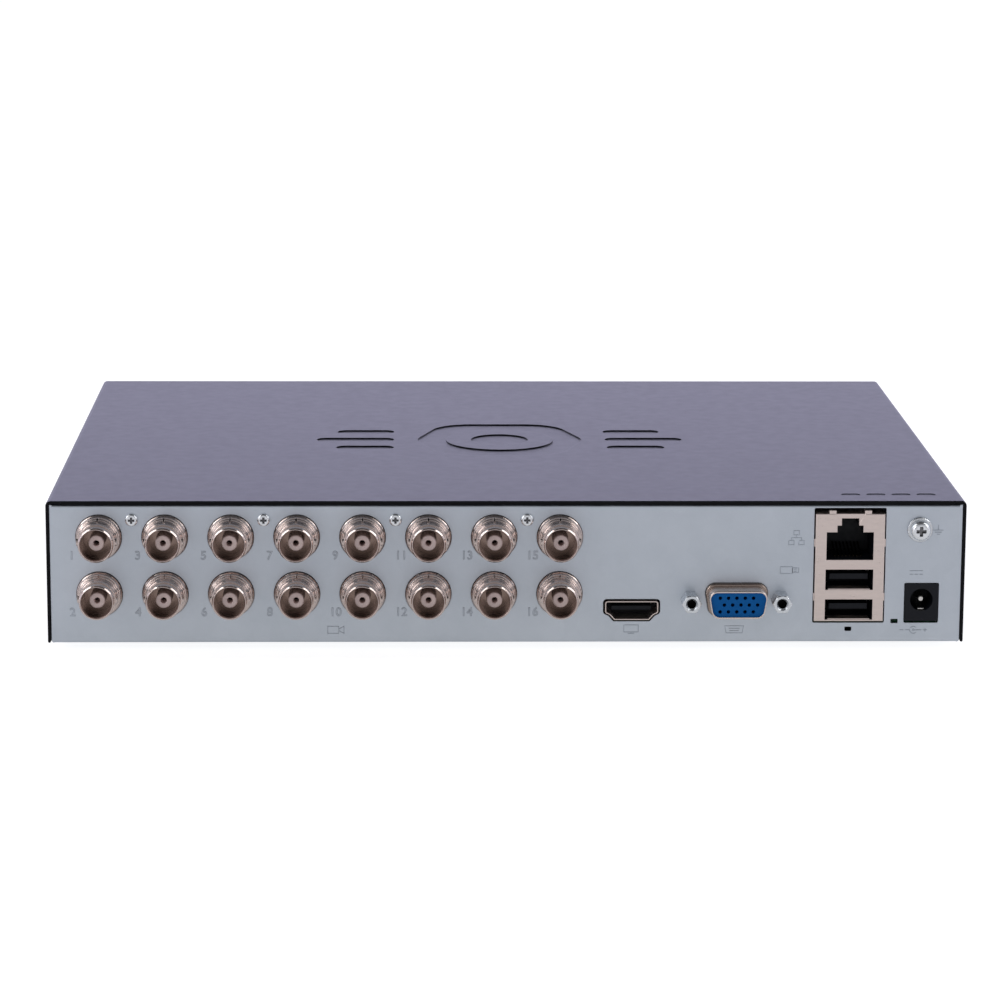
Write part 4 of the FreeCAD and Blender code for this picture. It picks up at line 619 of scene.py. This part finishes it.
def curve_mesh(name, curve, at, front=False):
    """The mesh of a flat curve laid on the rear panel, or in the bezel's window, centred at (x, z)."""
    holder = bpy.data.objects.new(name, curve)
    bpy.context.scene.collection.objects.link(holder)
    turn, y = (FACING_FRONT, FRONT_Y + WINDOW_DEPTH) if front else (FACING_REAR, PANEL_Y)
    holder.matrix_world = Matrix.Translation((at[0], y, at[1])) @ turn
    bpy.context.view_layer.update()
    graph = bpy.context.evaluated_depsgraph_get()
    mesh = bpy.data.meshes.new_from_object(holder.evaluated_get(graph))
    mesh.transform(holder.matrix_world)
    bpy.data.objects.remove(holder)
    return mesh


def number_mesh(text, at):
    """The outlines of a number on the rear panel."""
    curve = bpy.data.curves.new("number", "FONT")
    curve.body = text
    curve.size = NUMBER_SIZE
    curve.align_x = "CENTER"
    curve.align_y = "CENTER"
    curve.fill_mode = "NONE"
    curve.bevel_depth = NUMBER_STROKE
    curve.bevel_resolution = 1
    curve.resolution_u = 4
    return curve_mesh("number", curve, at)


def strokes_mesh(lines, at, front=False):
    """Fine raised strokes: each line is points in millimetres, as seen from outside the case."""
    curve = bpy.data.curves.new("strokes", "CURVE")
    curve.dimensions = "2D"
    curve.fill_mode = "NONE"
    curve.bevel_depth = SIGN_STROKE
    curve.bevel_resolution = 1
    for line in lines:
        closed = line[0] == line[-1]
        points = line[:-1] if closed else line
        spline = curve.splines.new("POLY")
        spline.points.add(len(points) - 1)
        for point, (x, y) in zip(spline.points, points):
            point.co = (x * MM, y * MM, 0.0, 1.0)
        spline.use_cyclic_u = closed
    return curve_mesh("strokes", curve, at, front)


def join_meshes(name, meshes, material):
    """One piece from several meshes."""
    def build(bm):
        for mesh in meshes:
            bm.from_mesh(mesh)
        for face in bm.faces:
            face.material_index = 0
    piece(name, build, material)


def jack_centres():
    """(x, z) of each coax jack, in the order of its channel number."""
    for number in range(1, JACK_COUNT + 1):
        centre = middle(f"coax_jack_shell_{number:02d}")
        yield centre.x, centre.z


def channel_numbers(material):
    """Each coax jack's number, below it and to its left."""
    meshes = []
    for number, (x, z) in enumerate(jack_centres(), 1):
        at = (x + NUMBER_SHIFT[0], z + NUMBER_SHIFT[1])
        meshes.append(number_mesh(str(number), at))
    join_meshes("channel_numbers", meshes, material)


def frame_line(width, height, x=0.0, y=0.0):
    """A closed rectangle, as a line."""
    left, right = x - width / 2, x + width / 2
    low, high = y - height / 2, y + height / 2
    return [(left, low), (right, low), (right, high), (left, high), (left, low)]


def ring_line(radius, start=0, end=360, steps=16):
    """An arc between two angles in degrees, or a whole ring, as a line."""
    angles = [math.radians(start + (end - start) * i / steps) for i in range(steps + 1)]
    points = [(radius * math.cos(a), radius * math.sin(a)) for a in angles]
    if end - start == 360:
        points[-1] = points[0]
    return points


# ---------------------------------------------------------------- small parts on the main board

LEG_PITCH = 0.0008
LEG_HALF_WIDTH = 0.00013
LEG_SUNK = 0.0001  # how far a leg starts inside its chip
LEG_MARGIN = 0.0012  # a side's two ends together, where there are no legs
# A leg's outline from its chip outwards and up, in millimetres.
LEG = (
    (0.0, 0.62), (0.42, 0.62), (0.62, 0.14), (1.0, 0.14),
    (1.0, 0.0), (0.5, 0.0), (0.32, 0.5), (0.0, 0.5),
)
UNDER_SINK = 0.003  # how near the heat sink's middle the processor's own middle is
CHIP_OUTLINE = 0.0013  # gaps from a part to its printed outline
PART_OUTLINE = 0.0005
OUTLINE_WIDTH = 0.00015
DOT_INSET = 0.0012
DOT_RADIUS = 0.0004

PASSIVE_SIZE = (0.0011, 0.00082, 0.00048)
PASSIVE_CHAMFER = 0.00005
PASSIVE_END_SIZE = (0.00034, 0.00088, 0.00052)
PASSIVE_END_CHAMFER = 0.00006
PASSIVE_END_SHIFT = 0.00068
PASSIVE_ROOM = (0.0024, 0.0019)
PASSIVE_CLEAR = 0.0014  # to the larger parts
PASSIVE_ROW_SHIFT = 0.0028  # from a chip's body to the row beside it
PASSIVE_ROW_PITCH = 0.0022
PASSIVE_TRIES = 900
BOARD_MARGIN = 0.003
LOW_PART_TOP = 0.0002  # heights over the board that count as taking room on it
HIGH_PART_FOOT = 0.012
# The steps of the even scatter over the board, as shares of its width and depth.
SCATTER_ACROSS = 0.6180339887
SCATTER_ALONG = 0.7548776662

STRIPE_HALF_ANGLE = math.radians(24)
STRIPE_STEPS = 6
STRIPE_TURN = 2.1  # radians from one capacitor to the next
STRIPE_FOOT = 0.0022  # gaps below and above a stripe
STRIPE_TOP = 0.0007
STRIPE_LIFT = 0.00003
STRIPE_DEPTH = 0.00004

LABEL_SIZE = (0.056, 0.062, 0.00012)
LABEL_CORNER = 0.002
LABEL_SHIFT = 0.003  # from the middle of the head arm
LABEL_ROWS = 7
LABEL_ROW_PITCH = 0.007
LABEL_TABLE = (0.048, 0.0423)
LABEL_RULE = 0.0003
INK_DEPTH = 0.00002

# Nodes whose solids take up room on the board.
ABOVE_BOARD = (
    "board_chips", "board_capacitors", "board_coils", "board_headers", "coin_cell_holder", "buzzer",
    "heat_sink", "chassis_screws", "jack_blocks", "hdmi_socket_shell", "vga_socket_insert",
    "port_stack_shell", "power_jack_body", "drive_data_lead", "drive_power_lead",
    "status_lights_lead", "drive_base",
)


def solid_boxes(node):
    """(lowest, highest) corner of each separate solid of a node, found by walking its mesh's edges."""
    mesh = NODES[node].data
    points = {}
    owner = []
    for vertex in mesh.vertices:
        owner.append(points.setdefault(tuple(round(c, 6) for c in vertex.co), vertex.index))
    group = list(range(len(owner)))

    def root(i):
        while group[i] != i:
            group[i] = group[group[i]]
            i = group[i]
        return i

    for edge in mesh.edges:
        first, second = (root(owner[i]) for i in edge.vertices)
        group[second] = first
    boxes = {}
    for vertex in mesh.vertices:
        key = root(owner[vertex.index])
        low, high = boxes.setdefault(key, (vertex.co.copy(), vertex.co.copy()))
        for axis in range(3):
            low[axis] = min(low[axis], vertex.co[axis])
            high[axis] = max(high[axis], vertex.co[axis])
    return sorted(boxes.values(), key=lambda pair: tuple(pair[0]))


def chip_boxes():
    """The leaded circuits: every one but the processor, which stands under its heat sink."""
    sink = middle("heat_sink")
    for low, high in solid_boxes("board_chips"):
        centre = (low + high) / 2
        if (centre - sink).xy.length > UNDER_SINK:
            yield low, high


def add_leg(bm, at, turn):
    """A gull-wing leg that leaves its chip at (x, y), towards the angle turn."""
    sides = []
    for shift in (-LEG_HALF_WIDTH, LEG_HALF_WIDTH):
        matrix = Matrix.Translation((*at, BOARD_TOP)) @ Matrix.Rotation(turn, 4, "Z")
        sides.append([bm.verts.new(matrix @ Vector((x * MM, shift, z * MM))) for x, z in LEG])
    bm.faces.new(sides[0])
    bm.faces.new(reversed(sides[1]))
    for i in range(len(LEG)):
        j = (i + 1) % len(LEG)
        bm.faces.new((sides[0][j], sides[0][i], sides[1][i], sides[1][j]))


def add_chip_legs(bm):
    """Rows of legs along each chip's sides: all four, or only the long two where those run along X."""
    for low, high in chip_boxes():
        centre, size = (low + high) / 2, high - low
        for quarter in range(4):
            across, along = (size.x, size.y) if quarter % 2 == 0 else (size.y, size.x)
            if along < size.x - 1e-6:
                continue
            count = int((along - LEG_MARGIN) / LEG_PITCH)
            for i in range(count):
                step = (i - (count - 1) / 2) * LEG_PITCH
                angle = math.radians(90 * quarter)
                out = Vector((math.cos(angle), math.sin(angle)))
                side = Vector((-out.y, out.x))
                add_leg(bm, centre.xy + out * (across / 2 - LEG_SUNK) + side * step, angle)


def taken_footprints():
    """(lowest x, lowest y, highest x, highest y) of each part on the board, with room round it."""
    clear = PASSIVE_CLEAR
    for node in ABOVE_BOARD:
        for low, high in solid_boxes(node):
            if high.z > BOARD_TOP + LOW_PART_TOP and low.z < BOARD_TOP + HIGH_PART_FOOT:
                yield low.x - clear, low.y - clear, high.x + clear, high.y + clear


def passive_wishes():
    """((x, y), turned) of rows beside the chips, then of places scattered over the board."""
    for first, last in chip_boxes():
        count = int((last.y - first.y) / PASSIVE_ROW_PITCH) - 1
        for x in (first.x - PASSIVE_ROW_SHIFT, last.x + PASSIVE_ROW_SHIFT):
            for i in range(count):
                yield (x, first.y + PASSIVE_ROW_PITCH * (i + 1)), True
    low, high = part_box("main_board")
    width = high.x - low.x - 2 * BOARD_MARGIN
    depth = high.y - low.y - 2 * BOARD_MARGIN
    for i in range(PASSIVE_TRIES):
        x = low.x + BOARD_MARGIN + width * ((i * SCATTER_ACROSS) % 1.0)
        y = low.y + BOARD_MARGIN + depth * ((i * SCATTER_ALONG) % 1.0)
        yield (round(x, 4), round(y, 4)), i % 2 == 0


def passive_places():
    """((x, y), turned) of each small passive part: the wished places that are free."""
    taken = list(taken_footprints())
    kept = []
    for (x, y), turned in passive_wishes():
        if any(a < x < c and b < y < d for a, b, c, d in taken):
            continue
        if any(abs(x - px) < PASSIVE_ROOM[0] and abs(y - py) < PASSIVE_ROOM[1] for (px, py), _ in kept):
            continue
        kept.append(((x, y), turned))
    return kept


def board_passives(tin):
    """Chip resistors and ceramic capacitors, with their tinned ends."""
    places = passive_places()

    def bodies(first):
        def build(bm):
            for (x, y), turned in places[first::2]:
                angle = 0.0 if turned else math.pi / 2
                at = (x, y, BOARD_TOP + PASSIVE_SIZE[2] / 2 + INK_DEPTH)
                add_block(bm, at, PASSIVE_SIZE, angle, PASSIVE_CHAMFER)
        return build

    def ends(bm):
        for (x, y), turned in places:
            angle = 0.0 if turned else math.pi / 2
            for side in (-1, 1):
                shift = side * PASSIVE_END_SHIFT
                height = BOARD_TOP + PASSIVE_END_SIZE[2] / 2 + INK_DEPTH / 2
                at = (x + shift * math.cos(angle), y + shift * math.sin(angle), height)
                add_block(bm, at, PASSIVE_END_SIZE, angle, PASSIVE_END_CHAMFER)

    resistor = plain("resistor_glaze", (0.02, 0.02, 0.024), 0.28).material
    ceramic = plain("ceramic", (0.30, 0.20, 0.12), 0.4).material
    piece("chip_resistors", bodies(0), resistor)
    piece("ceramic_capacitors", bodies(1), ceramic)
    piece("passive_ends", ends, tin)


def add_frame(bm, low, high, margin):
    """A thin flat outline on the board round a box's footprint."""
    line = OUTLINE_WIDTH
    x, y = (low.x - margin, high.x + margin), (low.y - margin, high.y + margin)
    z = BOARD_TOP + INK_DEPTH / 2
    for edge in y:
        add_block(bm, ((x[0] + x[1]) / 2, edge, z), (x[1] - x[0] + line, line, INK_DEPTH))
    for edge in x:
        add_block(bm, (edge, (y[0] + y[1]) / 2, z), (line, y[1] - y[0] - line, INK_DEPTH))


def board_outlines():
    """The white outlines printed round the larger parts."""
    def build(bm):
        for low, high in chip_boxes():
            add_frame(bm, low, high, CHIP_OUTLINE)
        for node in ("board_coils", "board_headers"):
            for low, high in solid_boxes(node):
                add_frame(bm, low, high, PART_OUTLINE)
    silk = plain("board_print", (0.55, 0.57, 0.54), 0.6, depth=0, ease=0).material
    piece("board_outlines", build, silk)


def capacitor_stripes():
    """The pale stripe down each capacitor's sleeve."""
    def build(bm):
        for number, (low, high) in enumerate(solid_boxes("board_capacitors")):
            centre, radius = (low + high) / 2, (high.x - low.x) / 2 + STRIPE_LIFT
            columns = []
            for i in range(STRIPE_STEPS + 1):
                angle = STRIPE_TURN * number + STRIPE_HALF_ANGLE * (2 * i / STRIPE_STEPS - 1)
                x = centre.x + radius * math.cos(angle)
                y = centre.y + radius * math.sin(angle)
                ends = (low.z + STRIPE_FOOT, high.z - STRIPE_TOP)
                columns.append([bm.verts.new((x, y, z)) for z in ends])
            for left, right in zip(columns, columns[1:]):
                bm.faces.new((left[0], right[0], right[1], left[1]))
        bmesh.ops.solidify(bm, geom=bm.faces[:], thickness=STRIPE_DEPTH)
    pale = plain("sleeve_stripe", (0.45, 0.50, 0.56), 0.35).material
    piece("capacitor_stripes", build, pale)


def chip_dots():
    """The pin-one dot in a corner of each circuit."""
    def build(bm):
        for low, high in chip_boxes():
            corner = (low.x + DOT_INSET, low.y + DOT_INSET, high.z + INK_DEPTH / 2)
            at = Matrix.Translation(corner)
            bmesh.ops.create_circle(bm, cap_ends=True, radius=DOT_RADIUS, segments=16, matrix=at)
        bmesh.ops.solidify(bm, geom=bm.faces[:], thickness=INK_DEPTH)
    grey = plain("chip_dot", (0.10, 0.10, 0.10), 0.4).material
    piece("chip_dots", build, grey)


def drive_label():
    """The blank paper label on the drive's lid, with the ruled lines of its table."""
    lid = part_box("drive_lid")
    x, y, z = middle("drive_arm").x - LABEL_SHIFT, (lid[0].y + lid[1].y) / 2, lid[1].z
    width, depth = LABEL_TABLE
    ink_z = z + LABEL_SIZE[2] + INK_DEPTH / 4

    def paper(bm):
        add_block(bm, (x, y, z + LABEL_SIZE[2] / 2), LABEL_SIZE)
        upright = [e for e in bm.edges if abs(e.verts[0].co.z - e.verts[1].co.z) > 0.0001]
        bmesh.ops.bevel(bm, geom=upright, offset=LABEL_CORNER, segments=4, affect="EDGES")

    def rules(bm):
        for i in range(LABEL_ROWS):
            shift = LABEL_ROW_PITCH * (i - (LABEL_ROWS - 1) / 2)
            add_block(bm, (x, y + shift, ink_z), (width, LABEL_RULE, INK_DEPTH))
        for shift in (-width / 2, 0.0, width / 2):
            add_block(bm, (x + shift, y, ink_z), (LABEL_RULE, depth, INK_DEPTH))

    white = plain("label_paper", (0.74, 0.74, 0.71), 0.5).material
    black = plain("label_ink", (0.03, 0.03, 0.035), 0.5).material
    piece("drive_label", paper, white)
    piece("drive_label_rules", rules, black)


# ---------------------------------------------------------------- printed signs

# Each sign's place on the rear panel as (x, z), and its lines in millimetres.
PICTOGRAMS = {
    "camera": ((0.0472, 0.0060), [
        frame_line(3.0, 2.0, -0.8),
        [(0.9, 0.3), (2.2, 1.0), (2.2, -1.0), (0.9, -0.3)],
    ]),
    "screen": ((-0.0344, 0.0061), [
        frame_line(4.0, 2.0, 0.0, 0.2),
        [(-0.9, -1.2), (0.9, -1.2)],
        [(0.0, -1.2), (0.0, -0.8)],
    ]),
    "wide_plug": ((-0.0630, 0.0060), [
        [(-2.6, 1.0), (2.6, 1.0), (2.2, -1.0), (-2.2, -1.0), (-2.6, 1.0)],
        [(-1.5, 0.3), (1.5, 0.3)],
        [(-1.3, -0.35), (1.3, -0.35)],
    ]),
    "network": ((-0.0798, 0.0320), [
        frame_line(1.5, 1.2, 0.0, 1.4),
        frame_line(1.5, 1.2, -1.4, -1.4),
        frame_line(1.5, 1.2, 1.4, -1.4),
        [(-1.4, -0.8), (-1.4, 0.0), (1.4, 0.0), (1.4, -0.8)],
        [(0.0, 0.0), (0.0, 0.8)],
    ]),
    "flat_plug": ((-0.0780, 0.0228), [
        frame_line(3.4, 1.9, -0.8),
        frame_line(1.7, 1.3, 1.75),
        [(1.4, 0.3), (2.0, 0.3)],
        [(1.4, -0.3), (2.0, -0.3)],
    ]),
    "earth": ((-0.1190, 0.0341), [
        [(0.0, 1.5), (0.0, 0.0)],
        [(-1.4, 0.0), (1.4, 0.0)],
        [(-0.9, -0.6), (0.9, -0.6)],
        [(-0.4, -1.2), (0.4, -1.2)],
    ]),
    "direct_current": ((-0.1132, 0.0221), [
        [(-1.8, 0.5), (1.8, 0.5)],
        [(-1.8, -0.5), (-0.9, -0.5)],
        [(-0.45, -0.5), (0.45, -0.5)],
        [(0.9, -0.5), (1.8, -0.5)],
    ]),
    "polarity": ((-0.1128, 0.0058), [
        ring_line(1.0, 40, 320),
        ring_line(0.25, steps=8),
        [(-2.2, 0.0), (-1.0, 0.0)],
        [(0.25, 0.0), (2.2, 0.0)],
        [(-3.8, 0.0), (-2.8, 0.0)],
        [(2.8, 0.0), (3.8, 0.0)],
        [(3.3, -0.5), (3.3, 0.5)],
    ]),
}


def pictograms(material):
    """Plain signs for what plugs in where."""
    meshes = [strokes_mesh(lines, at) for at, lines in PICTOGRAMS.values()]
    join_meshes("pictograms", meshes, material)


# Power, drive and network.
FRONT_SIGNS = (
    [ring_line(0.9, 115, 425), [(0.0, 0.2), (0.0, 1.2)]],
    [ring_line(0.95), ring_line(0.3, steps=8)],
    [frame_line(1.5, 1.0, 0.0, 0.5), [(0.0, 0.0), (0.0, -0.6)], [(-1.0, -0.6), (1.0, -0.6)]],
)
LIGHT_INSET = 0.003
SIGN_OVER_LIGHT = 0.0036


def front_signs():
    """Plain signs over the bezel's three lights: power, drive and network."""
    low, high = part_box("status_light_guide")
    xs = (low.x + LIGHT_INSET, (low.x + high.x) / 2, high.x - LIGHT_INSET)
    height = (low.z + high.z) / 2 + SIGN_OVER_LIGHT
    meshes = [strokes_mesh(lines, (x, height), front=True) for lines, x in zip(FRONT_SIGNS, xs)]
    pale = plain("bezel_print", (0.42, 0.44, 0.46), 0.5, 0.0, ease=0).material
    join_meshes("front_signs", meshes, pale)


# ---------------------------------------------------------------- studio

SKY_FRONT = (1.80, 1.76, 2.42, 1.0)
SKY_SIDES = (0.85, 0.84, 0.92, 1.0)
SKY_REAR = (0.45, 0.46, 0.48, 1.0)
SKY_TOP = (0.08, 0.08, 0.085, 1.0)
SKY_TOP_START = 0.3  # upward part of a direction where the top starts to show, and where it is all
SKY_TOP_END = 0.75
FLOOR_GLOW = 0.38
FLOOR_SHOWN_GLOW = 0.44
FLOOR_HALF = 30.0

# Each lamp's place, target, size and power in watts.
LAMPS = {
    "high_left": ((1.25, 0.1, 1.2), (0, 0, 0), (0.5, 1.0), 5.0),
    "high_right": ((-1.25, 0.1, 1.2), (0, 0, 0), (0.5, 1.0), 5.0),
    "left": ((1.2, 1.1, 0.7), (0, 0.08, 0.02), (0.5, 0.9), 5.0),
    "right": ((-1.3, 0.9, 0.8), (0, 0.08, 0.02), (0.4, 0.8), 2.5),
}

CAMERA_LENS = 131.16
CAMERA_SENSOR = 36.0
CAMERA_YAW = 1.463  # degrees
CAMERA_PITCH = 11.638
CAMERA_ROLL = 0.275
CAMERA_PLACE = (0.02707, 1.07122, 0.24446)
CAMERA_CLIP = (0.05, 100.0)


def studio_floor():
    """A plain white floor that glows a little, so that its shadows stay faint."""
    mesh = bpy.data.meshes.new("studio_floor")
    bm = bmesh.new()
    bmesh.ops.create_grid(bm, x_segments=1, y_segments=1, size=FLOOR_HALF)
    bm.to_mesh(mesh)
    bm.free()
    floor = bpy.data.objects.new("studio_floor", mesh)
    made = Shader("studio_white", (0.5, 0.5, 0.5), 0.9)
    made.paint(made.mix(made.noise(3.0), (0.495, 0.495, 0.495), (0.505, 0.505, 0.505)))
    made.set("Emission Color", (1.0, 1.0, 1.0, 1.0))
    path = made.node("ShaderNodeLightPath")
    glow = made.math("MULTIPLY_ADD", path.outputs["Is Camera Ray"], FLOOR_SHOWN_GLOW, FLOOR_GLOW)
    made.link(glow, made.shader.inputs["Emission Strength"])
    mesh.materials.append(made.material)
    bpy.context.scene.collection.objects.link(floor)


def studio_world():
    """Soft light from all round: a lavender glow low over the bezel's end, and dim behind the sockets.

    Seen directly, the world is plain white.
    """
    world = bpy.data.worlds.new("studio")
    bpy.context.scene.world = world
    world.use_nodes = True
    tree = world.node_tree
    background = tree.nodes["Background"]
    place = tree.nodes.new("ShaderNodeTexCoord")
    split = tree.nodes.new("ShaderNodeSeparateXYZ")
    tree.links.new(place.outputs["Generated"], split.inputs[0])
    across = tree.nodes.new("ShaderNodeMapRange")
    across.inputs["From Min"].default_value = -1.0
    across.inputs["From Max"].default_value = 1.0
    tree.links.new(split.outputs["Y"], across.inputs["Value"])
    ramp = tree.nodes.new("ShaderNodeValToRGB")
    tree.links.new(across.outputs["Result"], ramp.inputs["Fac"])
    stops = ramp.color_ramp.elements
    stops[0].position, stops[0].color = 0.0, SKY_FRONT
    stops[1].position, stops[1].color = 1.0, SKY_REAR
    sides = stops.new(0.5)
    sides.color = SKY_SIDES
    height = tree.nodes.new("ShaderNodeMapRange")
    height.interpolation_type = "SMOOTHSTEP"
    height.inputs["From Min"].default_value = SKY_TOP_START
    height.inputs["From Max"].default_value = SKY_TOP_END
    tree.links.new(split.outputs["Z"], height.inputs["Value"])
    dome = tree.nodes.new("ShaderNodeMix")
    dome.data_type = "RGBA"
    tree.links.new(height.outputs["Result"], dome.inputs[0])
    tree.links.new(ramp.outputs["Color"], dome.inputs[6])
    dome.inputs[7].default_value = SKY_TOP
    path = tree.nodes.new("ShaderNodeLightPath")
    shown = tree.nodes.new("ShaderNodeMix")
    shown.data_type = "RGBA"
    tree.links.new(path.outputs["Is Camera Ray"], shown.inputs[0])
    tree.links.new(dome.outputs[2], shown.inputs[6])
    shown.inputs[7].default_value = (1.0, 1.0, 1.0, 1.0)
    tree.links.new(shown.outputs[2], background.inputs["Color"])
    background.inputs["Strength"].default_value = 1.0


def softbox(name, place, target, size, power):
    """A rectangular area lamp that points at target."""
    data = bpy.data.lights.new(name, "AREA")
    data.shape = "RECTANGLE"
    data.size, data.size_y = size
    data.energy = power
    lamp = bpy.data.objects.new(name, data)
    lamp.location = place
    lamp.rotation_euler = (Vector(target) - Vector(place)).to_track_quat("-Z", "Y").to_euler()
    bpy.context.scene.collection.objects.link(lamp)


def camera():
    """Stands behind the case, a little above it."""
    data = bpy.data.cameras.new("camera")
    data.lens = CAMERA_LENS
    data.sensor_width = CAMERA_SENSOR
    yaw, pitch, roll = (math.radians(angle) for angle in (CAMERA_YAW, CAMERA_PITCH, CAMERA_ROLL))
    level = math.cos(pitch)
    forward = Vector((-math.sin(yaw) * level, -math.cos(yaw) * level, -math.sin(pitch)))
    side = Vector((-math.cos(yaw), math.sin(yaw), 0.0))
    up = side.cross(forward)
    right = side * math.cos(roll) + up * math.sin(roll)
    top = up * math.cos(roll) - side * math.sin(roll)
    turn = Matrix((right, top, -forward)).transposed().to_4x4()
    made = bpy.data.objects.new("camera", data)
    made.matrix_world = Matrix.Translation(CAMERA_PLACE) @ turn
    data.clip_start, data.clip_end = CAMERA_CLIP
    bpy.context.scene.collection.objects.link(made)
    bpy.context.scene.camera = made


# ---------------------------------------------------------------- the scene

dress_nodes()
# the darker grey of the panel's numbers and signs is painted shade
marking_shade = faint_ink()
tin = NODES["port_stack_shell"].data.materials[0]
channel_numbers(marking_shade)
pictograms(marking_shade)
piece("chip_legs", add_chip_legs, tin)
board_passives(tin)
board_outlines()
capacitor_stripes()
chip_dots()
drive_label()
front_signs()
studio_floor()
studio_world()
for lamp_name, lamp in LAMPS.items():
    softbox(lamp_name, *lamp)
camera()
bpy.context.scene.view_settings.view_transform = "Standard"
